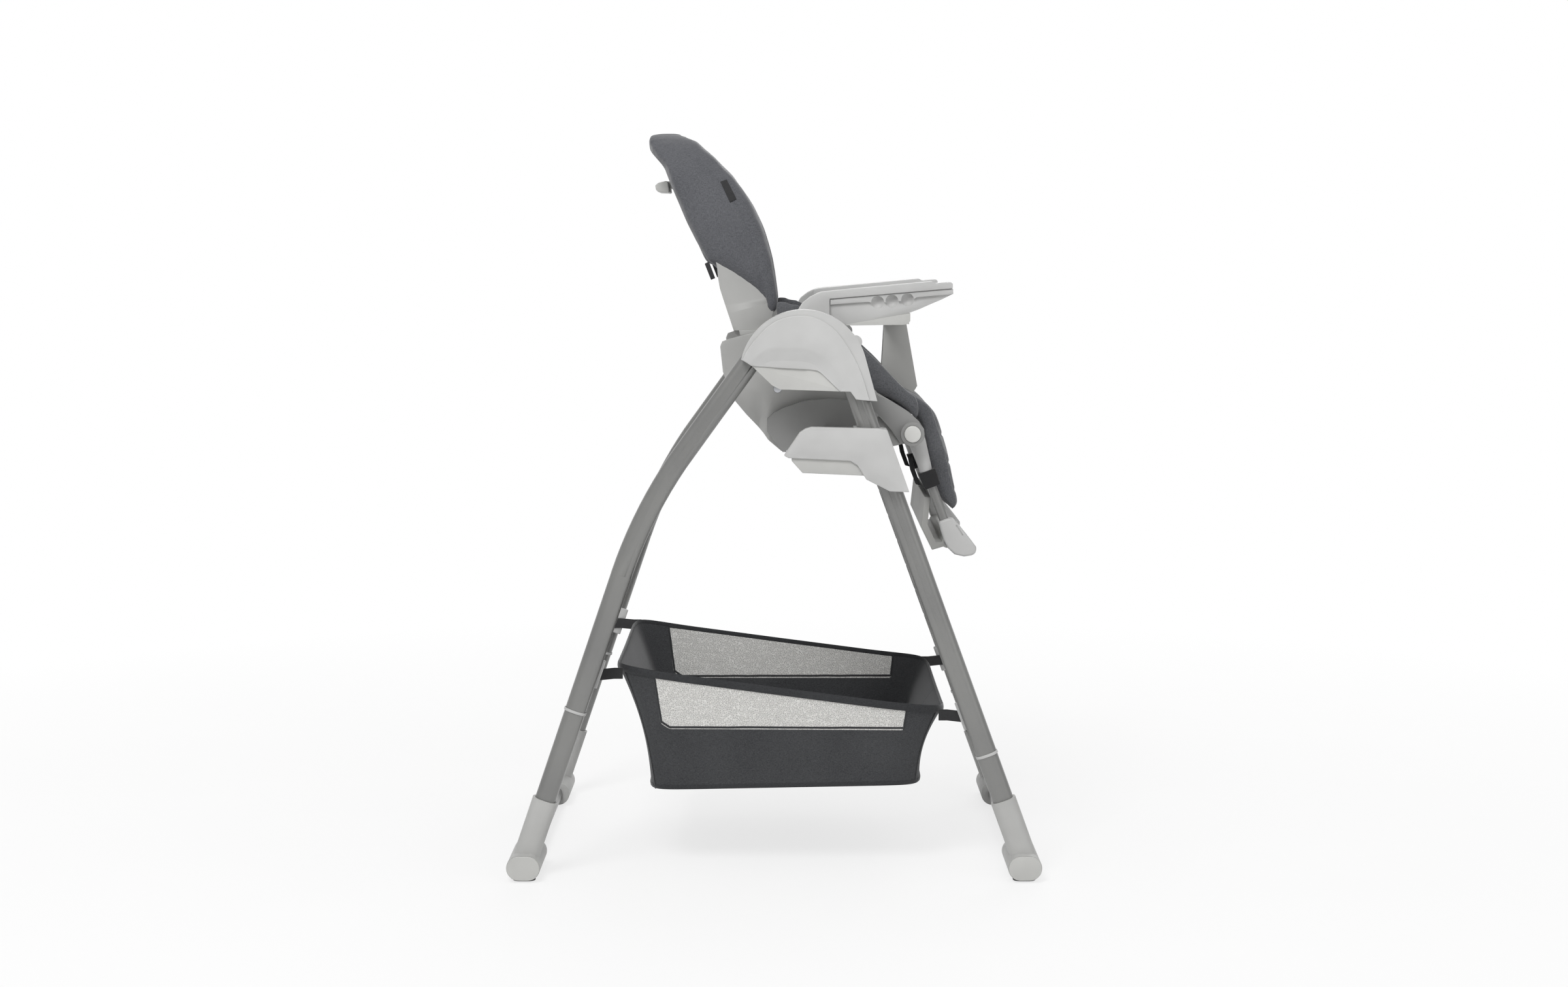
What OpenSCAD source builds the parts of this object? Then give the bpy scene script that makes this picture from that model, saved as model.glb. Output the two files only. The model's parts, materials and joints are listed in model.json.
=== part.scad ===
/* [Frame] */
// Height of the folding hinge axis above the floor
hinge_z = 742; // [640:1:840]
// Distance from the middle of the chair to the middle of each leg tube
leg_y = 258; // [250:1:330]
// Lean of the front legs from vertical, in degrees
front_lean = 20; // [18:0.5:22]
// Fore-and-aft width of the leg tube
tube_w = 30; // [26:1:34]
// Thickness of the leg tube across the chair
tube_t = 22; // [18:1:25]
// Wall of the steel leg tube
tube_wall = 1.6; // [1.2:0.1:3]
// Radius of the floor bar tube
bar_r = 12.5; // [10:0.5:14]
// Length of the transverse limb of each foot
foot_limb = 107; // [80:1:130]
// Radius of the steel hinge pin
hinge_pin_r = 5; // [4:0.25:6]

/* [Height adjustment] */
// Distance between two height locking holes, along the leg
lock_pitch = 43; // [36:1:52]
// Number of height positions below the top one
lock_steps = 7; // [4:1:7]
// Running gap between the carriage and the leg tube
sleeve_gap = 0.4; // [0.3:0.05:0.8]

/* [Seat] */
// Half of the clear width between the seat's side panels
seat_half = 172; // [166:1:190]
// Thickness of the seat shell's walls
shell_wall = 6; // [4:0.5:8]
// Thickness of the seat cushion
pad_t = 22; // [14:1:26]
// Gap between the backrest's cover and each side panel of the seat
back_gap = 7; // [5:0.5:12]
// Radius of the recline pins
recline_pin_r = 6; // [4:0.5:8]
// Width of the harness webbing
web_w = 25; // [20:1:30]

/* [Legrest] */
// Radius of the legrest's steel tubes
leg_tube_r = 7; // [5:0.5:8]
// Radius of the legrest push button
button_r = 12; // [9:0.5:14]

/* [Basket] */
// Half width of the basket at its rim
basket_half = 225; // [180:1:228]
// Thickness of the basket fabric solid
basket_wall = 3; // [2:0.5:5]

/* [Hidden] */
$fn = 64;
// Running clearance of a pin in its bore, on the radius
run_fit = 0.05;
// Gap between soft solids and what they lie on
soft_gap = 0.3;
// Height of the hinge axis at which the side outlines below are drawn
drawn_hinge_z = 742;
lift = hinge_z - drawn_hinge_z;
hinge_x = 40;
// The front leg's axis crosses the hinge's height here
front_x_at_hinge = 95.1;
front_top = 27;
leg_out = leg_y + tube_t / 2;
leg_in = leg_y - tube_t / 2;
cover_out = leg_out + 16;
skin = 3;
plate_gap = 0.5;
lever_t = 9.6;
lever_travel = 4;
lever_gap = 0.4;

// Floor ends
foot_w = 47.6;
foot_h = 35.6;
pad_h = 2.7;
foot_z = pad_h + foot_h / 2;
sleeve_wall = 3.2;
sleeve_top = 113;
foot_y = cover_out + 5;
cap_t = 3;
tube_foot_z = 26;

// Rear leg: from the knuckle down a straight, a bend and a second straight
rear_top_lean = 36;
rear_bend = 17.1;
rear_bend_r = 665;
rear_top_len = 160;
rear_lean = rear_top_lean - rear_bend;
rear_end = [hinge_x - 69, hinge_z - 4];

function turn(p, a) = [p[0] * cos(a) + p[1] * sin(a), -p[0] * sin(a) + p[1] * cos(a)];
function arc(c, r, a0, a1, n) = [for (i = [0:n]) c + r * [cos(a0 + (a1 - a0)
    * i / n), sin(a0 + (a1 - a0) * i / n)]];
function front_x(z) = front_x_at_hinge + (hinge_z - z) * tan(front_lean);
rear_bend_top = rear_end + turn([0, -rear_top_len], rear_top_lean);
rear_bend_end = rear_bend_top + turn([rear_bend_r, 0], rear_top_lean)
    - turn([rear_bend_r, 0], rear_lean);
function rear_x(z) = rear_bend_end[0] - (rear_bend_end[1] - z) * tan(rear_lean);
front_foot_x = front_x(foot_z) - 4;
rear_foot_x = rear_x(foot_z) + 2;

travel = lock_pitch * lock_steps;

// ---- helpers -------------------------------------------------------------

// A shape drawn on the +Y side, mirrored for the other side
module on_side(s) {
    if (s > 0) children();
    else mirror([0, 1, 0]) children();
}

module both_sides() {
    children();
    mirror([0, 1, 0]) children();
}

// A side outline (X, Z) made into a plate between two distances from the middle
module plate(y0, y1) translate([0, y1, 0]) rotate([90, 0, 0]) linear_extrude(y1 - y0) children();

// The same, for outlines drawn at the drawn hinge height
module upper(y0, y1) translate([0, 0, lift]) plate(y0, y1) children();

module stadium(w, t) {
    square([w - t, t], center = true);
    for (s = [-1, 1]) translate([s * (w - t) / 2, 0]) circle(d = t);
}

module front_leg_frame() translate([front_x_at_hinge, leg_y, hinge_z]) rotate([0, -front_lean, 0])
    children();

module pin_y(x, z, r, y0, y1) translate([x, y1, z]) rotate([90, 0, 0]) cylinder(r = r, h = y1 - y0);

module disc(p, r) translate(p) circle(r = r);

// ---- frame ---------------------------------------------------------------

module front_leg(s) color([0.54, 0.54, 0.54]) on_side(s) difference() {
    leg_d = (hinge_z - tube_foot_z) / cos(front_lean);
    front_leg_frame() translate([0, 0, -leg_d]) linear_extrude(leg_d + front_top) difference() {
        stadium(tube_w, tube_t);
        stadium(tube_w - 2 * tube_wall, tube_t - 2 * tube_wall);
    }
    front_leg_frame() for (i = [0:lock_steps]) translate([-tube_w, 0, -lock_d - i * lock_pitch])
        rotate([0, 90, 0]) cylinder(r = lock_hole_r, h = tube_w);
    pin_y(bolt_x, bolt_z, bolt_r + run_fit, leg_in - 1, leg_out + 1);
}
lock_d = 164;
lock_hole_r = 3.5;
bolt_r = 4;
bolt_z = hinge_z + 14;
bolt_x = front_x(bolt_z);

// A hollow tube of the leg's section, as wide as given
module tube_section(w, t) difference() {
    stadium(w, t);
    stadium(w - 2 * tube_wall, t - 2 * tube_wall);
}

// Top straight and bend in one piece, with the lower straight lapped a hair narrower into the bend
module rear_leg(s) color([0.54, 0.54, 0.54]) on_side(s) {
    straight = (rear_bend_end[1] - tube_foot_z) / cos(rear_lean);
    translate([rear_end[0], leg_y, rear_end[1]]) rotate([0, rear_top_lean, 0]) {
        translate([0, 0, -rear_top_len]) linear_extrude(rear_top_len) tube_section(tube_w, tube_t);
        translate([rear_bend_r, 0, -rear_top_len]) rotate([90, 0, 0]) rotate([0, 0, 180])
            rotate_extrude(angle = rear_bend) translate([rear_bend_r, 0]) tube_section(tube_w, tube_t);
    }
    translate([rear_bend_end[0], leg_y, rear_bend_end[1]]) rotate([0, rear_lean, 0])
        translate([0, 0, -straight]) linear_extrude(straight + lap)
            tube_section(tube_w - lap_step, tube_t - lap_step);
}
lap = 3;
lap_step = 0.3;

module floor_bar(x) color([0.54, 0.54, 0.54]) {
    bar_len = 2 * (foot_y - foot_limb + bar_grip);
    translate([x, bar_len / 2, foot_z]) rotate([90, 0, 0]) difference() {
        cylinder(r = bar_r, h = bar_len);
        translate([0, 0, -1]) cylinder(r = bar_r - tube_wall, h = bar_len + 2);
    }
}
bar_grip = 32;

// Moulded foot: a sleeve on the leg tube and an oval limb across the chair
module foot(x, axis_x, lean) difference() {
    sleeve_len = (sleeve_top - foot_z) / cos(lean);
    union() {
        translate([axis_x, leg_y, foot_z]) rotate([0, lean, 0]) linear_extrude(sleeve_len)
            stadium(tube_w + 2 * sleeve_wall, tube_t + 2 * sleeve_wall);
        translate([x, foot_y - cap_t, foot_z]) rotate([90, 0, 0]) linear_extrude(foot_limb - cap_t)
            stadium(foot_w, foot_h);
    }
    translate([axis_x, leg_y, foot_z]) rotate([0, lean, 0])
        translate([0, 0, (tube_foot_z - foot_z) / cos(lean) - bottom_gap])
            linear_extrude(sleeve_len + tube_w)
            stadium(tube_w + 2 * run_fit, tube_t + 2 * run_fit);
    pin_y(x, foot_z, bar_r + run_fit, foot_y - foot_limb - 1,
        foot_y - foot_limb + bar_grip + bottom_gap);
}
bottom_gap = 0.5;

module front_foot(s) color([0.7, 0.7, 0.7]) on_side(s) foot(front_foot_x, front_x(foot_z), -front_lean);
module rear_foot(s) color([0.7, 0.7, 0.7]) on_side(s) foot(rear_foot_x, rear_x(foot_z), rear_lean);

module end_caps(x) color([0.72, 0.72, 0.72]) both_sides()
    translate([x, foot_y, foot_z]) rotate([90, 0, 0]) linear_extrude(cap_t)
        stadium(foot_w - 1, foot_h - 1);

module glides(x) color([0.35, 0.35, 0.35]) both_sides()
    translate([x, foot_y - glide_inset, 0]) linear_extrude(pad_h)
        stadium(foot_w - foot_h + glide_w, glide_w);
glide_w = 20;
glide_inset = 20;

module collars(x, z, lean) color([0.75, 0.75, 0.75]) both_sides()
    translate([x, leg_y, z]) rotate([0, lean, 0]) linear_extrude(collar_h) difference() {
        stadium(tube_w + 2 * collar_t, tube_t + 2 * collar_t);
        stadium(tube_w + 2 * run_fit, tube_t + 2 * run_fit);
    }
collar_t = 1.2;
collar_h = 4;
front_collar_z = 176;
rear_collar_z = 238;

// Solid knuckle in the rear tube's top, with the hinge bore
module rear_knuckles() color([0.6, 0.6, 0.6]) both_sides() difference() {
    union() {
        plate(leg_y - knuckle_t / 2, leg_y + knuckle_t / 2) {
            polygon([rear_end + turn([-knuckle_w / 2, 0], rear_top_lean),
                [hinge_x, hinge_z + knuckle_r], [hinge_x, hinge_z - knuckle_r],
                rear_end + turn([knuckle_w / 2, 0], rear_top_lean)]);
            disc([hinge_x, hinge_z], knuckle_r);
        }
        translate([rear_end[0], leg_y, rear_end[1]]) rotate([0, rear_top_lean, 0])
            translate([0, 0, -plug_len]) linear_extrude(plug_len)
            stadium(tube_w - 2 * tube_wall - plug_fit, tube_t - 2 * tube_wall - plug_fit);
    }
    pin_y(hinge_x, hinge_z, hinge_pin_r + run_fit, leg_in, leg_out);
}
knuckle_t = 16;
knuckle_w = 25;
knuckle_r = 18;
plug_len = 45;
plug_fit = 0.2;

// ---- hinge covers --------------------------------------------------------

cover_c = [41, 716];
cover_r = 88.5;
rim_w = 3;
split_drop = 0.5;
module hinge_outline() polygon(concat(arc(cover_c, cover_r, 167, 12, 30),
    [[143, 678.5], [113.6, 680.6], [106, 691.5], [8.6, 694.7], [-2.2, 700.1], [-29.3, 726.1]]));

// Everything below the line between the cover's skin and its lever
module hinge_below(up) translate([0, up]) polygon([[-60, 729.4], [2.9, 724.7], [49.7, 722.2],
    [59.8, 720.9], [64.9, 717.6], [92.8, 690.5], [108, 678.4], [108, 640], [-60, 640]]);

module rim_ring() {
    difference() {
        polygon(concat(arc(cover_c, cover_r, 152, 12, 28), arc(cover_c, cover_r - rim_w, 12, 152, 28)));
        square(0.01);
    }
    polygon([[127.6, 734.4], [143, 678.5], [139.9, 678.7], [124.6, 733.7]]);
}

module hinge_cover_outer(s) color([0.78, 0.78, 0.78]) on_side(s) difference() {
    union() {
        upper(leg_out + plate_gap, cover_out) difference() {
            hinge_outline();
            hinge_below(0);
        }
        upper(leg_y, leg_out + plate_gap) rim_ring();
    }
    upper(leg_out, cover_out - skin) hinge_below(2 * lever_travel + split_drop);
    difference() {
        upper(leg_out, cover_out - skin) intersection() {
            disc(cover_c, cover_r - 3 * rim_w);
            translate([-60, 737]) square([170, 80]);
        }
        pin_y(hinge_x, hinge_z, hinge_pin_r + boss_t, leg_out, cover_out);
        pin_y(bolt_x, bolt_z, bolt_r + boss_t, leg_out, cover_out);
    }
    pin_y(hinge_x, hinge_z, hinge_pin_r + run_fit, leg_y, cover_out - skin);
    pin_y(bolt_x, bolt_z, bolt_r + run_fit, leg_y, cover_out - skin);
}
boss_t = 5;
inner_t = 6;

module hinge_covers_inner() color([0.78, 0.78, 0.78]) both_sides() {
    difference() {
        union() {
            upper(leg_in - plate_gap - inner_t, leg_in - plate_gap) hinge_outline();
            upper(leg_in - plate_gap, leg_y) rim_ring();
            upper(leg_in - plate_gap - inner_t, leg_in - plate_gap) disc([114, 759], 9);
        }
        pin_y(hinge_x, hinge_z, hinge_pin_r + run_fit, leg_in - 30, leg_y);
        pin_y(bolt_x, bolt_z, bolt_r + run_fit, leg_in - 30, leg_y);
    }
}

module hinge_pins() color([0.5, 0.5, 0.52]) both_sides() {
    pin_y(hinge_x, hinge_z, hinge_pin_r, leg_in - plate_gap - inner_t, cover_out - skin);
    pin_y(hinge_x, hinge_z, hinge_pin_r + 3, leg_in - plate_gap - inner_t - 3,
        leg_in - plate_gap - inner_t);
}

module leg_bolts() color([0.5, 0.5, 0.52]) both_sides() {
    pin_y(bolt_x, bolt_z, bolt_r, leg_in - plate_gap - inner_t, cover_out - skin);
    pin_y(bolt_x, bolt_z, bolt_r + 3, leg_in - plate_gap - inner_t - 3, leg_in - plate_gap - inner_t);
}

module fold_lever(s) color([0.72, 0.72, 0.72]) on_side(s)
    upper(cover_out - skin - lever_gap - lever_t, cover_out - skin - lever_gap) intersection() {
        hinge_outline();
        hinge_below(lever_travel);
        translate([-34, 640]) square([130, 120]);
    }

// ---- basket --------------------------------------------------------------

// Corner heights of the rim and the floor, at the rear and the front
basket_rim = [[-227, 297], [246, 236]];
basket_floor = [[-179, 112], [211, 122]];
basket_taper = 25;

// The tapering box between rim and floor, taken in by a wall
module basket_body(wall, rim_up) {
    b = [for (i = [0, 1]) basket_floor[i] + [(i == 0 ? wall : -wall), wall]];
    t = [for (i = [0, 1]) basket_rim[i] + [(i == 0 ? wall : -wall), rim_up]];
    yb = basket_half - basket_taper - wall;
    yt = basket_half - wall;
    polyhedron(points = [[b[0][0], -yb, b[0][1]], [b[1][0], -yb, b[1][1]], [b[1][0], yb, b[1][1]],
        [b[0][0], yb, b[0][1]],
        [t[0][0], -yt, t[0][1]], [t[1][0], -yt, t[1][1]], [t[1][0], yt, t[1][1]],
            [t[0][0], yt, t[0][1]]],
        faces = [[0, 1, 2, 3], [4, 7, 6, 5], [0, 4, 5, 1], [1, 5, 6, 2], [2, 6, 7, 3], [3, 7, 4, 0]]);
}

module basket() color([0.27, 0.27, 0.28]) difference() {
    basket_body(0, 0);
    basket_body(basket_wall, 2);
}

hook_t = 6;
hook_w = 20;
hook_h = 42;
hook_out = 9;
strap_t = 2;
strap_h = 16;
module hooks(x, z, lean) color([0.75, 0.75, 0.75]) both_sides() translate([x, leg_in - hook_t, z])
    rotate([0, lean, 0]) translate([-hook_w / 2, 0, -hook_h / 2]) cube([hook_w, hook_t, hook_h]);
// A ribbon from the rim's corner out to the hook on the leg
module basket_straps(corner, hook, z) color([0.12, 0.12, 0.12]) both_sides() {
    d = hook > corner ? hook_reach : -hook_reach;
    y0 = basket_half + soft_gap;
    y1 = leg_in - hook_t;
    translate([0, 0, z - strap_h / 2]) linear_extrude(strap_h) polygon([[corner - d, y0], [corner, y0],
        [hook - d, y1 - strap_t], [hook, y1 - strap_t], [hook, y1], [hook - d, y1],
            [corner, y0 + strap_t],
        [corner - d, y0 + strap_t]]);
}
hook_reach = 12;
rear_hook_z = 292;
front_hook_z = 232;

// ---- seat carriage -------------------------------------------------------

carriage_top = [[14, 603], [35.7, 635.1], [44, 640.5], [51.9, 642.7], [144.1, 640.5], [157.1, 638.3],
    [187.9, 552.2], [160.7, 553.3]];
carriage_split = [[128.1, 570], [115.9, 589.4], [105.7, 595.7], [57.5, 597.8], [20.6, 599.6]];
sleeve_region = [[107.4, 650], [192, 650], [192, 545], [145.6, 545]];

module leg_channel() front_leg_frame() translate([0, 0, -300]) linear_extrude(400)
    stadium(tube_w + 2 * sleeve_gap, tube_t + 2 * sleeve_gap);

module carriage_outer(s) color([0.74, 0.74, 0.74]) on_side(s) difference() {
    union() {
        upper(leg_out + 1, cover_out) polygon(concat(carriage_top, carriage_split));
        upper(leg_y, leg_out + 1) intersection() {
            polygon(concat(carriage_top, carriage_split));
            polygon(sleeve_region);
        }
    }
    leg_channel();
    upper(leg_out, cover_out - skin) polygon([[18, 560], [18, 608.5], [57.5, 608.5], [107, 606.5],
        [121, 597], [133, 577], [133, 560]]);
}

module carriages_inner() color([0.74, 0.74, 0.74]) both_sides() difference() {
    upper(carriage_in, leg_y) intersection() {
        polygon(concat(carriage_top, carriage_split));
        polygon(sleeve_region);
    }
    leg_channel();
}
carriage_in = leg_in - 16;

module height_lever(s) color([0.72, 0.72, 0.72]) on_side(s)
    upper(cover_out - skin - lever_gap - lever_t, cover_out - skin - lever_gap)
    polygon([[24.5, 603], [57.5, 602], [105.7, 600], [117, 593], [127.4, 577], [127.4, 574.8],
        [39.7, 578.7], [24.5, 595.7]]);

// Block between the carriage and the seat shell, with the knee arm and the legrest boss
knee = [196.8, 625.9];
boss_r = 17;
side_out = seat_half + shell_wall;
module seat_brackets() color([0.76, 0.76, 0.76]) both_sides() difference() {
    union() {
        upper(side_out, side_out + 20) polygon([[-10, 630], [-10, 648], [0, 657], [14, 664], [40, 673],
            [79, 677], [123, 672], [146, 655], [150, 610], [120, 598], [12, 601]]);
        upper(side_out, side_out + 8) polygon([[110, 690], [146.8, 680], [170.2, 670.5], [191, 657.5],
            [206.7, 643.2], [214, 630], [200, 612], [180, 612], [166, 632], [150, 650], [110, 660]]);
        upper(side_out, side_out + 16) disc(knee, boss_r);
        upper(side_out + 20, carriage_in) intersection() {
            polygon([[62, 605], [70, 638], [154, 638], [178, 560], [150, 560], [110, 600]]);
            polygon(concat(carriage_top, carriage_split));
        }
    }
    translate([0, 0, lift]) pin_y(knee[0], knee[1], button_r + soft_gap, side_out + 7, side_out + 17);
    translate([0, 0, lift]) pin_y(knee[0], knee[1], pivot_r + run_fit, side_out - 1, side_out + 8);
}
pivot_r = 6;

// ---- seat ----------------------------------------------------------------

shell_under = [[-56.1, 672.2], [-40, 652], [-24.9, 635.5], [-9.2, 617.2], [10, 601], [60, 597],
    [120, 597], [176, 609]];
shell_over = [[176, 614], [120, 602], [60, 602], [12.5, 606], [-5.5, 620.5], [-21, 639],
    [-36, 655.5], [-51.5, 675]];
recline = [5, 690];

module side_outline() polygon(concat([[75, 800], [40, 803], [10, 787], [-30, 769], [-63.8, 760.7],
    [-74, 757], [-76.8, 750], [-73, 713.9], [-64, 688]], shell_under,
    [[183, 611], [206, 611], [214, 620], [214, 632], [206.7, 643.2], [191, 657.5], [170.2, 670.5],
    [146.8, 684], [120, 722], [97.8, 768], [88, 785]]));

module seat_shell() color([0.69, 0.69, 0.68]) difference() {
    union() {
        both_sides() upper(seat_half, side_out) side_outline();
        upper(-seat_half, seat_half) {
            polygon(concat(shell_under, shell_over));
            polygon([[-24, 642], [-24, 647], [176, 647], [176, 642]]);
            polygon([[171, 609], [176, 609], [176, 647], [171, 647]]);
        }
    }
    translate([0, 0, lift]) both_sides() {
        pin_y(recline[0], recline[1], recline_pin_r + run_fit, seat_half - 1, side_out + 1);
        pin_y(knee[0], knee[1], pivot_r + run_fit, seat_half - 1, side_out + 1);
    }
}

lining = 8;
seat_top = 647 + pad_t;
module seat_pad() color([0.36, 0.37, 0.38]) difference() {
    union() {
        upper(-seat_half + soft_gap, seat_half - soft_gap) polygon([[-14, 647], [150, 647],
            [150, seat_top + 4], [-14, seat_top]]);
        both_sides() upper(seat_half - lining, seat_half - soft_gap) polygon([[26, 650], [150, 650],
            [146, 680], [120, 718], [97.8, 764], [85, 776], [30, 776]]);
    }
    post_clearance();
}

module knee_pad() color([0.36, 0.37, 0.38]) difference() {
    upper(-knee_half, knee_half) polygon([[150.3, 648], [150.3, 690], [186.6, 684.8], [200.7, 680.5],
        [217.8, 673.3], [229.1, 663.9], [238.6, 637.7], [240, 632], [216, 632], [205, 650],
            [180, 648]]);
    post_clearance();
}

// Arm: an ear on the side panel, a top band, a web and a tray rail with three notches
ear_t = 12;
arm_in = seat_half - 22;
arm_out = side_out + ear_t;
ear_c = [48, 782];
ear_r = 24;
function under_arm(x) = 780.4 + (x - 97.4) * (797.2 - 780.4) / (190.8 - 97.4);
module arm(s) color([0.75, 0.75, 0.75]) on_side(s) {
    upper(side_out, arm_out) {
        polygon([[28.6, 796], [31, 806], [50.6, 821.8], [66.2, 827.5], [78.6, 829], [78.6, 781],
            [74, 772], [48, 770]]);
        disc(ear_c, ear_r);
    }
    upper(arm_in, arm_out) polygon([[66, 814], [66.2, 827.5], [78.6, 829], [224.3, 842.4], [228, 839.4],
        [250, 841.2], [252.6, 839.5], [252.8, 832.1], [78.6, 817.4]]);
    upper(arm_in + 4, arm_out - 5) polygon([[78.6, 817.4], [252.8, 832.1], [253.7, 824.4],
        [221.9, 810.1],
        [190.8, 797.2], [97.4, 780.4], [88, 785.5], [78.6, 803.2]]);
    upper(arm_out - 5, arm_out - 1) difference() {
        polygon([[78.6, 810.1], [252.9, 824.4], [252.9, 829], [78.6, 814.5]]);
        for (p = [[146, 813.5], [167, 815.2], [188, 817]]) disc(p, notch_r);
    }
}
notch_r = 8.5;

module arm_screws() color([0.8, 0.8, 0.82]) translate([0, 0, lift]) both_sides() {
    pin_y(ear_c[0], ear_c[1] - 4, 5, arm_out, arm_out + 2);
    pin_y(51, 735, 5, side_out, side_out + 2);
}

// Bar under both arms with the post between the child's legs
post_half = 18;
module post_outline() polygon([[163.4, 781], [195.4, 781], [212.6, 685], [200, 664], [178, 655],
    [178, 647], [156, 647], [158, 700], [160, 721.9]]);
module crotch_post() color([0.72, 0.72, 0.72]) {
    both_sides() upper(arm_in, arm_out - 2) polygon([[102, under_arm(102)], [190.8, under_arm(190.8)],
        [193, 797], [193, 786.4], [189, 782], [184, 781], [102, 780]]);
    translate([0, 0, lift + 781]) linear_extrude(8) polygon([[163, 0], [150, arm_in - 50],
        [120, arm_in],
        [120, arm_in + 2], [193, arm_in + 2], [196, 0], [193, -arm_in - 2], [120, -arm_in - 2],
        [120, -arm_in], [150, -arm_in + 50]]);
    upper(-post_half, post_half) post_outline();
}
module post_clearance() upper(-post_half - soft_gap, post_half + soft_gap)
    polygon([[153, 640], [153, 800], [214, 800], [214, 682], [200, 660], [182, 650], [182, 640]]);

// ---- harness -------------------------------------------------------------

buckle = [96, 0];
module waist_straps() color([0.12, 0.12, 0.12]) both_sides()
    translate([20, 30, lift + seat_top + 3.5]) linear_extrude(strap_t) polygon([[0, 105], [web_w, 105],
        [buckle[0] - 8, 2], [buckle[0] - 8 - web_w, 2]]);
module harness_buckle() color([0.15, 0.15, 0.15])
    translate([buckle[0] - 30, -28, lift + seat_top + 3.8])
    linear_extrude(9) polygon([[6, 0], [34, 0], [44, 14], [44, 42], [34, 56], [6, 56], [0, 50],
        [0, 6]]);

module shoulder_straps() color([0.12, 0.12, 0.12]) both_sides() upper(45, 45 + web_w)
    polygon(concat([for (p = pad_front) p + [soft_gap, 0]],
        [for (i = [len(pad_front) - 1:-1:0]) pad_front[i] + [soft_gap + strap_t, 0]]));

// ---- backrest ------------------------------------------------------------

slab_rear = [[-58, 772], [-89, 866], [-103, 902], [-125, 953], [-139, 986], [-150, 1012]];
slab_t = 10;
pad_front = [[-124, 1012], [-98, 955], [-74, 905], [-54, 850], [-30, 772]];
cover_outline = [[-185.4, 1046], [-181, 1052], [-168.8, 1055.3], [-142.9, 1054.4], [-115.3, 1040.7],
    [-87.7, 1017.8], [-60, 990.3], [-36.9, 958.1], [-18.4, 921.3], [-4.6, 879.8], [2.9, 842.8],
    [7.5, 813.2], [0.1, 805.8], [-23.2, 815.1], [-41.8, 819.7], [-55.7, 833.6], [-78.9, 847.5],
    [-92.7, 870.6], [-106.5, 902.9], [-120.4, 930.5], [-129.5, 953.5], [-143.3, 985.7],
    [-152.4, 1008.6], [-175.4, 1031.5]];
back_half = seat_half - back_gap;
wing_t = 47;
wing_in = back_half - wing_t;
shell_inset = 13;
side_t = 8;
lug_r = 14;
module back_shell() color([0.70, 0.69, 0.67]) difference() {
    union() {
        upper(-back_half + shell_inset, back_half - shell_inset) polygon(concat(slab_rear,
            [[-141, 1015], [-128, 988], [-114, 955], [-93, 905], [-79, 868], [-47, 772],
                [-22, 712], [-32, 708]]));
        both_sides() {
            upper(back_half - shell_inset - side_t, back_half - 5) polygon([[-58, 772],
                [-89, 866], [-103, 902],
                [-112, 922], [-100, 925], [-72, 862], [-26, 800], [-10, 796], [-8, 782], [-16, 772]]);
            upper(seat_half - 14, seat_half - 0.5) {
                disc(recline, lug_r);
                polygon([[-50, 772], [-16, 772], [18.5, 693], [-8, 684]]);
            }
            upper(back_half - shell_inset - side_t, seat_half - 0.5) polygon([[-50, 772],
                [-16, 772], [-19, 763], [-48, 763]]);
        }
        upper(-32, 32) polygon([[-143, 965], [-125, 965], [-125, 1005], [-150, 1005]]);
    }
    both_sides() translate([0, 0, lift])
        pin_y(recline[0], recline[1], recline_pin_r + run_fit, seat_half - 20, seat_half);
    upper(-20 - lever_gap, 20 + lever_gap) polygon([[-165, 975.6], [-138, 975.6], [-138, 997],
        [-165, 997]]);
}

module recline_pins() color([0.6, 0.6, 0.62]) translate([0, 0, lift]) both_sides() {
    pin_y(recline[0], recline[1], recline_pin_r, seat_half - 14, side_out);
}

module back_pad() color([0.36, 0.37, 0.38]) difference() {
    intersection() {
        union() {
            both_sides() upper(wing_in, back_half) polygon(cover_outline);
            upper(-wing_in, wing_in) polygon(concat([[-175.4, 1031.5], [-185.4, 1046],
                [-181, 1052], [-168.8, 1055.3],
                [-150, 1052], [-138, 1035]], pad_front, [[-47, 772], [-79, 868], [-92.7, 870.6],
                    [-106.5, 902.9],
                [-120.4, 930.5], [-129.5, 953.5], [-143.3, 985.7], [-152.4, 1008.6]]));
        }
        translate([-200, 0, lift]) rotate([90, 0, 90]) linear_extrude(240) back_front_outline();
    }
    back_shell();
    upper(-20 - lever_gap, 20 + lever_gap) polygon([[-165, 970], [-138, 970], [-138, 1000],
        [-165, 1000]]);
}
back_corner_r = 95;
module back_front_outline() {
    translate([-back_half, 760]) square([2 * back_half, 1056 - back_corner_r - 760]);
    translate([-back_half + back_corner_r, 760]) square([2 * (back_half - back_corner_r), 296]);
    for (s = [-1, 1]) translate([s * (back_half - back_corner_r), 1056 - back_corner_r])
        circle(r = back_corner_r);
}

module back_strap() color([0.12, 0.12, 0.12]) both_sides() upper(back_half - 4.7, back_half - 1.2)
    polygon([[-99, 867], [-92.9, 870.2], [-84, 846.5], [-90, 844]]);

module recline_lever() color([0.8, 0.8, 0.8]) {
    upper(-20, 20) polygon([[-160, 976], [-138.4, 976], [-138.4, 988], [-160, 988]]);
    upper(-45, 45) polygon([[-176, 980], [-173, 975], [-158, 974], [-158, 990], [-170, 990],
        [-176, 986]]);
}

// ---- legrest -------------------------------------------------------------

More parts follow.
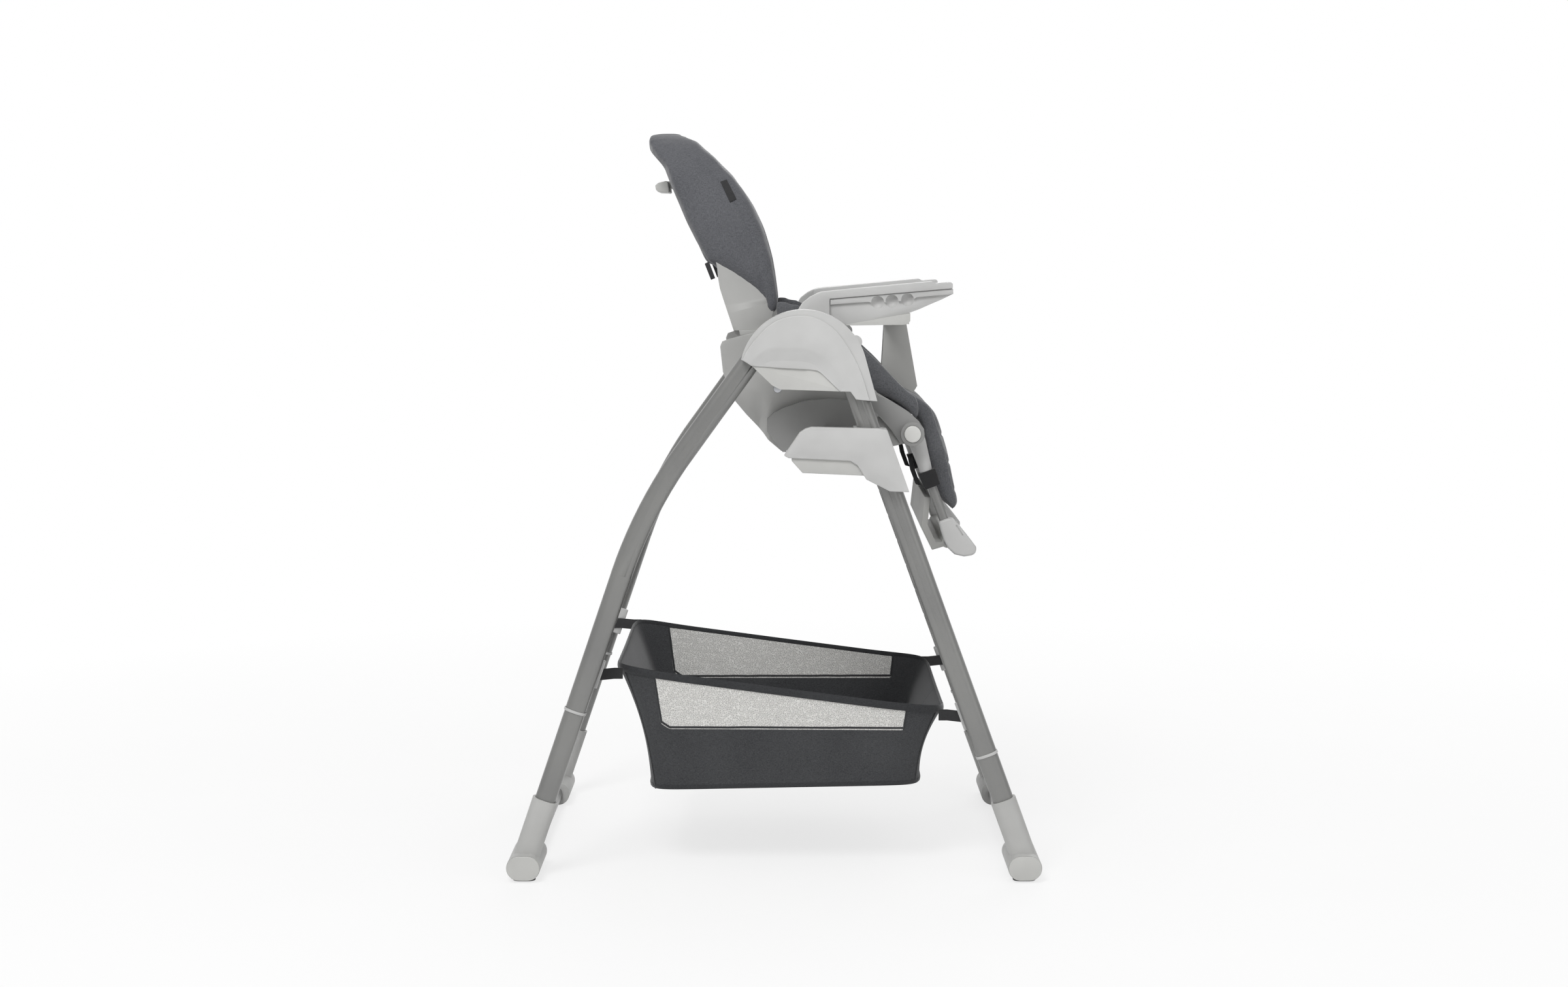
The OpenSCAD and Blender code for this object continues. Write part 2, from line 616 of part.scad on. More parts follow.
leg_dir = 20.8;
function down_leg(d, w) = knee + turn([w, -d], -leg_dir);
arm_len = 62;
tube_end = 175;
leg_arm_t = 19.2;
leg_arm_in = seat_half - 0.5 - leg_arm_t;
leg_mid = leg_arm_in + leg_arm_t / 2;
knee_gap = 2.3;
knee_half = leg_arm_in - knee_gap;
module down_the_leg() translate([knee[0], leg_mid, knee[1] + lift]) rotate([0, 180 - leg_dir, 0])
    children();

module legrest_arms() color([0.78, 0.78, 0.78]) both_sides() difference() {
    union() {
        upper(leg_arm_in, leg_arm_in + leg_arm_t) {
            disc(knee, boss_r - 1);
            polygon([down_leg(0, -boss_r + 1), down_leg(0, boss_r - 1), down_leg(arm_len, 9.4),
                down_leg(arm_len, -9.4)]);
        }
        translate([0, 0, lift])
            pin_y(knee[0], knee[1], pivot_r, leg_arm_in + leg_arm_t, side_out + 2.4);
    }
    down_the_leg() translate([0, 0, arm_len - tube_grip])
        cylinder(r = leg_tube_r + run_fit, h = tube_grip + 1);
}
tube_grip = 25;

module legrest_tubes() color([0.6, 0.6, 0.6]) both_sides()
    down_the_leg() translate([0, 0, arm_len - tube_grip + bottom_gap]) difference() {
        tube_len = tube_end - arm_len + tube_grip - bottom_gap;
        cylinder(r = leg_tube_r, h = tube_len);
        translate([0, 0, -1]) cylinder(r = leg_tube_r - tube_wall, h = tube_len + 2);
    }

module leg_pad() color([0.36, 0.37, 0.38]) upper(-knee_half, knee_half) polygon([[216, 620], [241, 626],
    [250.1, 600.1], [258, 565], [263.7, 534.2], [266.6, 520.1], [260.1, 509], [252, 520.1],
        [240, 545], [228, 572], [222, 600]]);

// Elastic loops from the leg pad round each legrest arm
module legrest_band() color([0.12, 0.12, 0.12]) both_sides() difference() {
    band_y = leg_arm_in - 1.4;
    upper(band_y, leg_arm_in + leg_arm_t + 2.2) polygon([down_leg(46, -15), down_leg(46, 14),
        down_leg(66, 13), down_leg(66, -14)]);
    upper(leg_arm_in - 0.2, leg_arm_in + leg_arm_t + 0.2)
        polygon([down_leg(40, -12.9), down_leg(40, 11.9),
        down_leg(70, 11), down_leg(70, -12)]);
}

module legrest_button(s) color([0.85, 0.85, 0.85]) on_side(s) translate([0, 0, lift])
    pin_y(knee[0], knee[1], button_r, side_out + 7 + button_travel + 0.5, side_out + 18);
button_travel = 4;

foot_pivot = [250, 466];
shoe_outline = [[235.7, 498.1], [252.5, 504.7], [259.1, 500], [289.4, 458.5], [287.5, 451],
    [271.6, 448.2],
    [257.6, 451.9], [243, 457], [240, 472]];
module footrest_shoes() color([0.78, 0.78, 0.78]) both_sides() difference() {
    upper(leg_arm_in - 1, leg_arm_in + leg_arm_t + 1) polygon(shoe_outline);
    down_the_leg() translate([0, 0, 100]) cylinder(r = leg_tube_r + sleeve_fit, h = tube_end - 100 + 1);
    translate([0, 0, lift])
        pin_y(foot_pivot[0], foot_pivot[1], foot_pin_r + run_fit, leg_arm_in - 2, leg_arm_in + 3);
}
sleeve_fit = 0.08;
foot_pin_r = 3.5;

plate_half = leg_arm_in - 1.5;
module foot_plate() color([0.72, 0.72, 0.72]) difference() {
    union() {
        translate([0, 0, lift]) pin_y(foot_pivot[0], foot_pivot[1], 8, -plate_half, plate_half);
        upper(-plate_half, plate_half) polygon([foot_pivot, foot_pivot + [-2, -5], [228, 455],
            [212, 490], [216.7, 532.7],
            [225, 531.6], [221.5, 492.5], [233, 467]]);
    }
    both_sides() translate([0, 0, lift])
        pin_y(foot_pivot[0], foot_pivot[1], foot_pin_r + run_fit, plate_half - 12, plate_half + 1);
}

module foot_plate_pins() color([0.5, 0.5, 0.52]) translate([0, 0, lift]) both_sides()
    pin_y(foot_pivot[0], foot_pivot[1], foot_pin_r, plate_half - 11.5, leg_arm_in + 3);

// ---- placed parts --------------------------------------------------------

front_leg(-1);  // front_leg_right
front_leg(1);  // front_leg_left
rear_leg(-1);  // rear_leg_right
rear_leg(1);  // rear_leg_left
floor_bar(front_foot_x);  // front_floor_bar
floor_bar(rear_foot_x);  // rear_floor_bar
front_foot(-1);  // front_foot_right
front_foot(1);  // front_foot_left
rear_foot(-1);  // rear_foot_right
rear_foot(1);  // rear_foot_left
end_caps(front_foot_x);  // front_end_caps
end_caps(rear_foot_x);  // rear_end_caps
glides(front_foot_x);  // front_glides
glides(rear_foot_x);  // rear_glides
collars(front_x(front_collar_z), front_collar_z, -front_lean);  // front_collars
collars(rear_x(rear_collar_z), rear_collar_z, rear_lean);  // rear_collars
rear_knuckles();
hinge_pins();
leg_bolts();
hinge_cover_outer(-1);  // hinge_cover_outer_right
hinge_cover_outer(1);  // hinge_cover_outer_left
hinge_covers_inner();
fold_lever(-1);  // fold_lever_right
fold_lever(1);  // fold_lever_left
hooks(front_x(front_hook_z) - hook_out, front_hook_z, -front_lean);  // front_basket_hooks
hooks(rear_x(rear_hook_z) + hook_out, rear_hook_z, rear_lean);  // rear_basket_hooks
basket_straps(basket_rim[1][0], front_x(front_hook_z), front_hook_z - 4);  // front_basket_straps
basket_straps(basket_rim[0][0], rear_x(rear_hook_z), rear_hook_z - 4);  // rear_basket_straps
basket();
carriage_outer(-1);  // carriage_outer_right
carriage_outer(1);  // carriage_outer_left
carriages_inner();
height_lever(-1);  // height_lever_right
height_lever(1);  // height_lever_left
seat_brackets();
seat_shell();
seat_pad();
knee_pad();
arm(-1);  // arm_right
arm(1);  // arm_left
arm_screws();
crotch_post();
waist_straps();
harness_buckle();
recline_pins();
back_shell();
back_pad();
back_strap();
shoulder_straps();
recline_lever();
legrest_arms();
legrest_tubes();
leg_pad();
legrest_band();
legrest_button(-1);  // legrest_button_right
legrest_button(1);  // legrest_button_left
footrest_shoes();
foot_plate();
foot_plate_pins();
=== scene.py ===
# %% [markdown]
# # A folding high chair, finished in Blender
# The chair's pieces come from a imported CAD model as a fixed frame. They already have the right sizes and they
# already ride on the bodies that move. This lesson gives them their surfaces: rounded mouldings, tubes,
# padded covers, a fabric basket and webbing. Lengths in the tables below are in millimetres and Blender works
# in metres.

# %% Load the frame
import bpy
import bmesh
import json
import math
import numpy as np
from mathutils import Matrix, Vector

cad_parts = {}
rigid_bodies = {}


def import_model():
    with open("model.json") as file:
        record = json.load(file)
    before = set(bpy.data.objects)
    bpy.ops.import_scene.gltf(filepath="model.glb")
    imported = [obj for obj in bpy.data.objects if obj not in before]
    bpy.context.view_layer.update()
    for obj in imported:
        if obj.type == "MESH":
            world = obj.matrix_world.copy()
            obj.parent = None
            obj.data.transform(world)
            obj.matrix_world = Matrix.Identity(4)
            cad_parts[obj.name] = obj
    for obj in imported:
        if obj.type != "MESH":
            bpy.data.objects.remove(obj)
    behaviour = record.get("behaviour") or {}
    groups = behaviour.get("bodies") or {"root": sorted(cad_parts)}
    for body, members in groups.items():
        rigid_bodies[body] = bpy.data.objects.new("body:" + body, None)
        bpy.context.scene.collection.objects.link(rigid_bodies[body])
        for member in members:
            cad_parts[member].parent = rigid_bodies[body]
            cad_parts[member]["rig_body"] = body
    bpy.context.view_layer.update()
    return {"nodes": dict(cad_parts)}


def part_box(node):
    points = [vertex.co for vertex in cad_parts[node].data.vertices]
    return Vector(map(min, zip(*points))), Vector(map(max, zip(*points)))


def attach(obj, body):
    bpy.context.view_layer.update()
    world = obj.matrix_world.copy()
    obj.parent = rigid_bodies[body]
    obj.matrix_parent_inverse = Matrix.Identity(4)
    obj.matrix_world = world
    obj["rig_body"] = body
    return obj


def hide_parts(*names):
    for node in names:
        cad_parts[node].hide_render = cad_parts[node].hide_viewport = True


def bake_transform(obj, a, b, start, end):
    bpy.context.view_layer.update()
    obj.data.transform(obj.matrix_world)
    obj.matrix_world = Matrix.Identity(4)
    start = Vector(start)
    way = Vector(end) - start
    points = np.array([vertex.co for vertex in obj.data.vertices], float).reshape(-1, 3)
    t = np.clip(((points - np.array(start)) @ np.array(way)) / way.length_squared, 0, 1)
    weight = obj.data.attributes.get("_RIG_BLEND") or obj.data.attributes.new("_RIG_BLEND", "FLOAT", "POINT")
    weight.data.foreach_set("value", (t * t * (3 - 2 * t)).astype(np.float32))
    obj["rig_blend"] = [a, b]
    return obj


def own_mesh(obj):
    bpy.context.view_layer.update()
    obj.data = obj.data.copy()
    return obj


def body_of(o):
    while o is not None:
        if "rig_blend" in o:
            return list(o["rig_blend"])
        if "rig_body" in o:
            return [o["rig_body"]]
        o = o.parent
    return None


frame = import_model()
MM = 0.001

# %% [markdown]
# ## The camera and the light
# The chair stands in front of a pale sweep, seen square from its side and from a little above. The camera is
# set first, because every later choice is judged through it. The lamps are large and soft, and they come from
# above, from the front and from behind the chair, so that each rounded edge gets a gentle highlight.

# %% Camera
CAMERA_PLACE, LOOK_DOWN = (0.014, -3.620, 0.885), 5.726
bpy.ops.object.camera_add(location=CAMERA_PLACE, rotation=(math.radians(90 - LOOK_DOWN), 0, 0))
camera = bpy.context.object
camera.data.lens = 55.5
camera.data.sensor_width = 36
bpy.context.scene.camera = camera


# %% Lamps
def lamp(name, place, target, size, power):
    """A soft square lamp that looks at a point."""
    bpy.ops.object.light_add(type="AREA", location=place)
    made = bpy.context.object
    made.name = name
    made.data.size = size
    made.data.energy = power
    made.rotation_euler = (Vector(target) - Vector(place)).to_track_quat("-Z", "Y").to_euler()


lamp("lamp_key", (-0.9, -2.3, 3.1), (0, 0, 0.6), 1.3, 62)
lamp("lamp_fill", (2.6, -2.4, 1.5), (0, 0, 0.5), 2.2, 12)
lamp("lamp_back", (0.6, 2.6, 2.4), (0, 0, 0.6), 2.0, 26)

# %% World and sweep
scene = bpy.context.scene
scene.view_settings.view_transform = "Standard"
world = bpy.data.worlds.new("studio")
scene.world = world
world.use_nodes = True
sky = world.node_tree.nodes["Background"]
sky.inputs["Color"].default_value = (1, 1, 1, 1)
seen = world.node_tree.nodes.new("ShaderNodeLightPath")
level = world.node_tree.nodes.new("ShaderNodeMapRange")
LIT, SEEN = 0.5, 1.0
level.inputs["To Min"].default_value = LIT
level.inputs["To Max"].default_value = SEEN
world.node_tree.links.new(seen.outputs["Is Camera Ray"], level.inputs["Value"])
world.node_tree.links.new(level.outputs["Result"], sky.inputs["Strength"])

CARD_SIZE, BACKDROP_AWAY = 14, 5
bpy.ops.mesh.primitive_plane_add(size=CARD_SIZE)
floor = bpy.context.object
floor.name = "floor"
bpy.ops.mesh.primitive_plane_add(size=CARD_SIZE, location=(0, BACKDROP_AWAY, 0),
                                 rotation=(math.radians(90), 0, 0))
backdrop = bpy.context.object
backdrop.name = "backdrop"

# %% [markdown]
# ## Shader maths as plain expressions
# A finish is a small program: noise in, colour and roughness out. Node graphs are hard to read as code, so
# `Value` wraps one socket and lets `1 - mask` or `0.5 * noise` add the Math node it stands for. `Finish` adds
# any other node with one call, and holds the surface shader that everything ends in.


# %% Values and finishes
class Value:
    """A number or a colour on its way through a finish."""

    def __init__(self, finish, socket):
        self.finish = finish
        self.socket = socket

    def maths(self, operation, first, second):
        return self.finish.node("ShaderNodeMath", {"operation": operation}, first, second)

    def __add__(self, other):
        return self.maths("ADD", self, other)

    def __sub__(self, other):
        return self.maths("SUBTRACT", self, other)

    def __rsub__(self, other):
        return self.maths("SUBTRACT", other, self)

    def __mul__(self, other):
        return self.maths("MULTIPLY", self, other)

    __radd__ = __add__
    __rmul__ = __mul__


def paint(red, green, blue):
    """A screen colour, 0 to 255, as the linear colour that a shader takes."""
    linear = [c / 255 / 12.92 if c <= 10 else ((c / 255 + 0.055) / 1.055) ** 2.4 for c in (red, green, blue)]
    return (*linear, 1)


class Finish:
    """One material. Its shader's plain sockets are set by name, and the rest are fed by nodes."""

    def __init__(self, name, **plain):
        self.material = bpy.data.materials.new(name)
        self.material.use_nodes = True
        self.tree = self.material.node_tree
        self.shader = self.tree.nodes["Principled BSDF"]
        self.give(**plain)
        self.place = self.node("ShaderNodeTexCoord", out="Object")

    def feed(self, socket, value):
        if isinstance(value, Value):
            self.tree.links.new(value.socket, socket)
        else:
            socket.default_value = value

    def give(self, **sockets):
        """Feed the surface shader's sockets, by name."""
        for socket, value in sockets.items():
            self.feed(self.shader.inputs[socket.replace("_", " ")], value)

    def node(self, kind, settings=None, *values, out=0, **named):
        """A node with its settings made first, then its sockets in order or by name, as a value."""
        made = self.tree.nodes.new(kind)
        for key, value in (settings or {}).items():
            setattr(made, key, value)
        for socket, value in zip(made.inputs, values):
            self.feed(socket, value)
        for socket, value in named.items():
            self.feed(made.inputs[socket.replace("_", " ")], value)
        return Value(self, made.outputs[out])

    def stretched(self, scale):
        """The object's own coordinates, scaled along each axis."""
        return self.node("ShaderNodeMapping", None, Vector=self.place, Scale=scale)

    def noise(self, scale, detail=2.0, place=None):
        return self.node("ShaderNodeTexNoise", None, Vector=place or self.place, Scale=scale, Detail=detail)

    def blend(self, share, first, second):
        """One colour into another by a share from 0 to 1."""
        made = self.tree.nodes.new("ShaderNodeMix")
        made.data_type = "RGBA"
        for socket, value in zip((made.inputs[0], made.inputs[6], made.inputs[7]), (share, first, second)):
            self.feed(socket, value)
        return Value(self, made.outputs[2])

    def spread(self, value, low, high):
        """A value that runs from low to high, moved to run from 0 to 1 and held there."""
        return self.node("ShaderNodeMapRange", {"clamp": True}, value, low, high, 0.0, 1.0)

    def bumped(self, height, distance):
        """Relief of that height in metres, over the whole finish."""
        self.give(Normal=self.node("ShaderNodeBump", None, Strength=1.0, Distance=distance, Height=height))


# %% [markdown]
# ## Moulded plastic
# The covers, feet, arms and seat shell are injection moulded. Such plastic is never one flat grey: it has a
# fine spark-eroded grain that breaks up highlights, a faint cloudiness from the melt, and handled edges that
# are slightly more polished. One function makes them all, so that neighbours differ only in their grey. The
# seat brackets' darker grey is painted shade: they are the same light plastic, darkened where the covers shade
# them.


# %% Plastics
def moulded(name, colour, roughness=0.42, grain=0.00004, cloud=0.06):
    """A satin moulded plastic with a fine grain."""
    made = Finish(name, Specular_IOR_Level=0.45)
    soft = made.noise(9, 3)
    fine = made.noise(1500, 2)
    darker = tuple(c * (1 - 2.2 * cloud) for c in colour[:3]) + (1,)
    lighter = tuple(min(1, c * (1 + cloud)) for c in colour[:3]) + (1,)
    made.give(Base_Color=made.blend(made.spread(soft, 0.3, 0.7), darker, lighter))
    made.give(Roughness=0.16 * made.noise(38, 3) + (roughness - 0.08) + 0.05 * fine)
    made.bumped(fine, grain)
    return made.material


plastic_light = moulded("plastic_light", paint(195, 195, 194))
plastic_shell = moulded("plastic_shell", paint(176, 176, 174), 0.46)
# Painted shade: the seat brackets are the same light plastic as the covers, given a darker grey that stands for
# the shadow they lie in.
plastic_bracket_painted_shade = moulded("plastic_bracket_painted_shade", paint(148, 148, 147), 0.44)
plastic_foot = moulded("plastic_foot", paint(186, 186, 184), 0.45)
plastic_lever = moulded("plastic_lever", paint(196, 196, 193), 0.36)
plastic_button = moulded("plastic_button", paint(220, 220, 217), 0.3)
plastic_buckle = moulded("plastic_buckle", paint(44, 44, 46), 0.34)
plastic_tread = moulded("plastic_tread", paint(176, 176, 173), 0.5, 0.00012)
rubber = moulded("rubber", paint(88, 88, 88), 0.8, 0.0001, 0.1)


# %% [markdown]
# ## Painted tube and plain steel
# The legs are oval steel tubes with a powder coat: a satin grey with fine flake and a little orange peel,
# which wobbles long highlights. The pins and screws are bare zinc-plated steel, brushed round by turning.


# %% Metals
def painted_tube():
    made = Finish("painted_tube", Metallic=0.35, Coat_Roughness=0.25, Coat_Weight=0.25)
    flake = made.noise(2600, 2)
    cloud = made.noise(7, 3)
    body = made.blend(made.spread(cloud, 0.3, 0.7), paint(126, 126, 125), paint(138, 138, 136))
    made.give(Base_Color=made.blend(made.spread(flake, 0.5, 0.85), body, paint(146, 146, 144)))
    made.give(Roughness=0.3 + 0.07 * made.noise(60, 2))
    made.bumped(made.noise(30, 1), 0.00002)
    return made.material


def plain_steel():
    made = Finish("plain_steel", Metallic=1.0, Base_Color=paint(196, 198, 202))
    rings = made.noise(900, 2, place=made.stretched((1, 0.04, 1)))
    made.give(Roughness=0.24 + 0.2 * rings)
    made.bumped(rings, 0.00002)
    return made.material


tube_paint = painted_tube()
steel = plain_steel()


# %% [markdown]
# ## Cloth, net and webbing
# The covers are a melange polyester: dark and light yarns twisted together, so the grey is made of short
# streaks along the warp and the weft. The basket is a plainer, tighter cloth with windows of net. Straps are
# ribbed across their width. The pattern is built from stretched noise in the object's own coordinates, which
# needs no unwrapped sheet.


# %% Cloths
def weave(made, thread=1.0):
    """The tone and the relief of yarns that run up and across each face."""
    warp = made.noise(1, 2, place=made.stretched((1700 / thread, 1700 / thread, 260 / thread)))
    weft = made.noise(1, 2, place=made.stretched((260 / thread, 420 / thread, 1700 / thread)))
    cross = made.noise(1, 2, place=made.stretched((1500 / thread, 300 / thread, 1500 / thread)))
    yarn = 0.4 * warp + 0.35 * weft + 0.25 * cross
    return made.spread(yarn + 0.12 * made.noise(14, 3), 0.44, 0.68), yarn


def woven(name, dark, light, thread=1.0):
    """A two-tone weave."""
    made = Finish(name, Sheen_Weight=0.35, Sheen_Roughness=0.45, Specular_IOR_Level=0.25)
    tone, yarn = weave(made, thread)
    made.give(Base_Color=made.blend(tone, dark, light))
    made.give(Roughness=0.82 + 0.12 * yarn)
    made.bumped(yarn + 0.5 * made.noise(120, 3), 0.00022)
    return made.material


def windowed(name, dark, light):
    """Basket cloth with windows of net. The mesh says how deep inside a window each of its points is."""
    made = Finish(name, Sheen_Weight=0.2, Sheen_Roughness=0.45, Specular_IOR_Level=0.25)
    tone, yarn = weave(made, 0.8)
    depth = made.node("ShaderNodeAttribute", {"attribute_name": "window_depth"}, out="Fac")
    window = made.spread(depth, 0.0, 0.8)
    holes = made.node("ShaderNodeTexVoronoi", {"feature": "DISTANCE_TO_EDGE"}, Vector=made.place, Scale=420)
    knots = made.spread(holes, 0.06, 0.16)
    net = made.blend(knots, paint(236, 235, 232), paint(190, 189, 186))
    made.give(Base_Color=made.blend(window, made.blend(tone, dark, light), net))
    made.give(Roughness=0.82 + 0.12 * yarn)
    made.bumped(yarn * (1 - window) + (1 - knots) * window, 0.00022)
    return made.material


def ribbed(name, colour, ribs=700):
    made = Finish(name, Sheen_Weight=0.2, Specular_IOR_Level=0.3)
    rib = made.node("ShaderNodeTexWave", {"wave_type": "BANDS", "bands_direction": "DIAGONAL"},
                    Vector=made.place, Scale=ribs, Distortion=1.2)
    light = tuple(min(1, 2.1 * c + 0.004) for c in colour[:3]) + (1,)
    made.give(Base_Color=made.blend(made.spread(rib + 0.4 * made.noise(240), 0.3, 1.3), colour, light))
    made.give(Roughness=0.66 + 0.2 * rib)
    made.bumped(rib, 0.00016)
    return made.material


cloth_cover = woven("cloth_cover", paint(76, 77, 81), paint(104, 105, 109))
cloth_seat = woven("cloth_seat", paint(75, 76, 79), paint(104, 105, 108))
cloth_basket = windowed("cloth_basket", paint(50, 51, 53), paint(80, 81, 83))
cloth_trim = woven("cloth_trim", paint(40, 41, 43), paint(66, 67, 69), 0.7)
webbing = ribbed("webbing", paint(40, 40, 41))
elastic = ribbed("elastic", paint(30, 30, 31), 1100)

# %% [markdown]
# The sweep is a bright matt card. The camera, and anything that mirrors, sees it close to white, while its
# lit part still takes the chair's soft shadow.


# %% Sweep finish
def bright_card(name, share):
    made = Finish(name, Roughness=0.9, Specular_IOR_Level=0.1)
    made.give(Base_Color=made.blend(made.noise(2, 2), paint(240, 240, 240), paint(250, 250, 250)))
    rays = made.tree.nodes.new("ShaderNodeLightPath")
    seen = Value(made, rays.outputs["Is Camera Ray"]) + Value(made, rays.outputs["Is Glossy Ray"])
    far = made.node("ShaderNodeVectorMath", {"operation": "LENGTH"}, made.place, out="Value")
    share = share + (1 - share) * made.spread(far, 0.5, 2.2)
    white = made.node("ShaderNodeEmission", None, (1, 1, 1, 1), 1.0)
    mixed = made.node("ShaderNodeMixShader", None, share * seen, Value(made, made.shader.outputs[0]), white)
    made.tree.links.new(mixed.socket, made.tree.nodes["Material Output"].inputs["Surface"])
    return made.material


floor.data.materials.append(bright_card("floor_card", 0.74))
backdrop.data.materials.append(bright_card("backdrop_card", 1.0))


# %% [markdown]
# ## Working by hand, in code
# New pieces start as a primitive, are shaped in edit mode, and are finished with modifiers. Operators act on
# all that is selected, so each helper first clears the selection. Outlines are (X, Z) corners of a side view.
# Sides that are alike are made once, on the left, and mirrored.


# %% Selection and modifiers
SHARP_EDGE, FLAT_JOIN, SAME_PLACE = 32, 1.0, 0.01


def only(piece):
    """Make this the one selected and active object."""
    bpy.ops.object.select_all(action="DESELECT")
    piece.select_set(True)
    bpy.context.view_layer.objects.active = piece


def started(name, primitive, **settings):
    """A new primitive, the only thing selected."""
    bpy.ops.object.select_all(action="DESELECT")
    primitive(**settings)
    bpy.context.object.name = name
    return bpy.context.object


def edit(piece):
    """Open a mesh with all of it selected."""
    only(piece)
    bpy.ops.object.mode_set(mode="EDIT")
    bpy.ops.mesh.select_all(action="SELECT")


def done():
    bpy.ops.object.mode_set(mode="OBJECT")


def points_of(piece):
    """A mesh's points as an array, in millimetres."""
    return np.array([v.co for v in piece.data.vertices]) / MM


def modify(piece, kind, **settings):
    """Add a modifier with these settings and apply it."""
    only(piece)
    made = piece.modifiers.new(kind.lower(), kind)
    for key, value in settings.items():
        setattr(made, key, value)
    bpy.ops.object.modifier_apply(modifier=made.name)


def smooth(piece, degrees=38):
    only(piece)
    bpy.ops.object.shade_smooth_by_angle(angle=math.radians(degrees))


def round_edges(piece, width, segments=3):
    """Round every sharp edge, by a width in millimetres."""
    modify(piece, "BEVEL", width=width * MM, segments=segments, limit_method="ANGLE",
           angle_limit=math.radians(SHARP_EDGE), use_clamp_overlap=True, harden_normals=False)


def dress(piece, body, slot, *finishes):
    """Give a finished piece its body and materials; its slot is not used. A piece that bends between bodies has
    no body.
    """
    piece.data.materials.clear()
    for finish in finishes:
        piece.data.materials.append(finish)
    if body:
        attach(piece, body)
    return piece


def both_sides(left, right_name, nodes, *looks):
    """Dress a left piece and its mirror image, in place of two nodes."""
    dress(left, *looks)
    right = dress(mirrored(left, right_name), *looks)
    for piece, node in zip((left, right), nodes):
        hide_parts(node)


# %% Plates, copies and mirrors
def plate(name, outline, y0, y1):
    """A flat plate with a side outline of (X, Z) corners, between two distances from the middle."""
    made = started(name, bpy.ops.mesh.primitive_circle_add, vertices=len(outline), fill_type="NGON")
    for corner, (x, z) in zip(made.data.vertices, outline):
        corner.co = (x * MM, y0 * MM, z * MM)
    edit(made)
    bpy.ops.mesh.extrude_region_move(TRANSFORM_OT_translate={"value": (0, (y1 - y0) * MM, 0)})
    bpy.ops.mesh.select_all(action="SELECT")
    bpy.ops.mesh.normals_make_consistent(inside=False)
    done()
    made.location = (0, 0, 0)
    return made


def cad_copy(node, name=None):
    """A CAD node's shape as a mesh of its own, with its loose triangles merged and flat faces joined up."""
    source = frame["nodes"][node]
    made = bpy.data.objects.new(name or node + "_finished", source.data.copy())
    bpy.context.scene.collection.objects.link(made)
    made.data.transform(source.matrix_world)
    made.matrix_world = Matrix.Identity(4)
    edit(made)
    bpy.ops.mesh.remove_doubles(threshold=SAME_PLACE * MM)
    bpy.ops.mesh.dissolve_limited(angle_limit=math.radians(FLAT_JOIN))
    done()
    return made


def mirrored(piece, name):
    """The same piece on the other side of the chair, with its own mesh."""
    made = piece.copy()
    made.data = piece.data.copy()
    made.name = name
    bpy.context.scene.collection.objects.link(made)
    made.data.transform(Matrix.Scale(-1, 4, (0, 1, 0)))
    made.data.flip_normals()
    return made


def joined(name, *pieces):
    """Several objects made one."""
    bpy.ops.object.select_all(action="DESELECT")
    for piece in pieces:
        piece.select_set(True)
    bpy.context.view_layer.objects.active = pieces[0]
    if len(pieces) > 1:
        bpy.ops.object.join()
    pieces[0].name = name
    return pieces[0]


def cut_grid(piece, step, axes=(0, 2)):
    """Cut the mesh by planes a step apart, so that a flat face gets vertices which can be moved."""
    points = np.array([v.co for v in piece.data.vertices])
    low, high = points.min(axis=0), points.max(axis=0)
    edit(piece)
    for axis in axes:
        along = np.eye(3)[axis]
        for cut in np.arange(low[axis] + step * MM, high[axis] - 0.4 * step * MM, step * MM):
            bpy.ops.mesh.select_all(action="SELECT")
            bpy.ops.mesh.bisect(plane_co=tuple(along * cut), plane_no=tuple(along), use_fill=False)
    done()


def reshape(piece, change):
    """Move the vertices of a mesh: change takes and gives an array of points in millimetres."""
    moved = change(points_of(piece)) * MM
    piece.data.vertices.foreach_set("co", moved.astype(np.float32).ravel())
    piece.data.update()


def ease(value):
    """Smooth step from 0 to 1."""
    value = np.clip(value, 0, 1)
    return value * value * (3 - 2 * value)


def away(points, line):
    """Each (X, Z) point's distance from a line of (X, Z) corners."""
    line = np.array(line, float)
    best = np.full(len(points), 1e9)
    for a, b in zip(line, line[1:]):
        along = b - a
        share = np.clip(((points - a) @ along) / max(along @ along, 1e-9), 0, 1)
        best = np.minimum(best, np.linalg.norm(points - a - share[:, None] * along, axis=1))
    return best


def inside(points, outline):
    """Whether each (X, Z) point is inside an outline."""
    found = np.zeros(len(points), bool)
    corners = list(outline)
    for (x0, z0), (x1, z1) in zip(corners, corners[1:] + corners[:1]):
        crosses = (z0 > points[:, 1]) != (z1 > points[:, 1])
        at = (x1 - x0) * (points[:, 1] - z0) / (z1 - z0 if z1 != z0 else 1e-9) + x0
        found ^= crosses & (points[:, 0] < at)
    return found


def flowing(corners, steps=6):
    """A smooth curve through the corners."""
    corners = [np.array(c, float) for c in corners]
    line = [2 * corners[0] - corners[1], *corners, 2 * corners[-1] - corners[-2]]
    curve = []
    for a, b, c, d in zip(line, line[1:], line[2:], line[3:]):
        for i in range(steps):
            t = i / steps
            curve.append(0.5 * (2 * b + (c - a) * t + (2 * a - 5 * b + 4 * c - d) * t * t
                                + (3 * b - a - 3 * c + d) * t ** 3))
    curve.append(corners[-1])
    return [tuple(float(v) for v in p) for p in curve]


def arc(centre, radius, start, end, count):
    """Points along an arc, in degrees."""
    return [(centre[0] + radius * math.cos(math.radians(start + (end - start) * i / count)),
             centre[1] + radius * math.sin(math.radians(start + (end - start) * i / count)))
            for i in range(count + 1)]


# %% [markdown]
# ## Hard pieces that keep their CAD shape
# Tubes, feet, shells, levers and pins are right already, except that CAD edges are knife sharp and CAD curves
# are faceted. Each gets a merged copy, a rounded edge as wide as the real moulding's, and smooth shading. The
# table gives an edge width, a slot and a finish, and the nodes that take them.

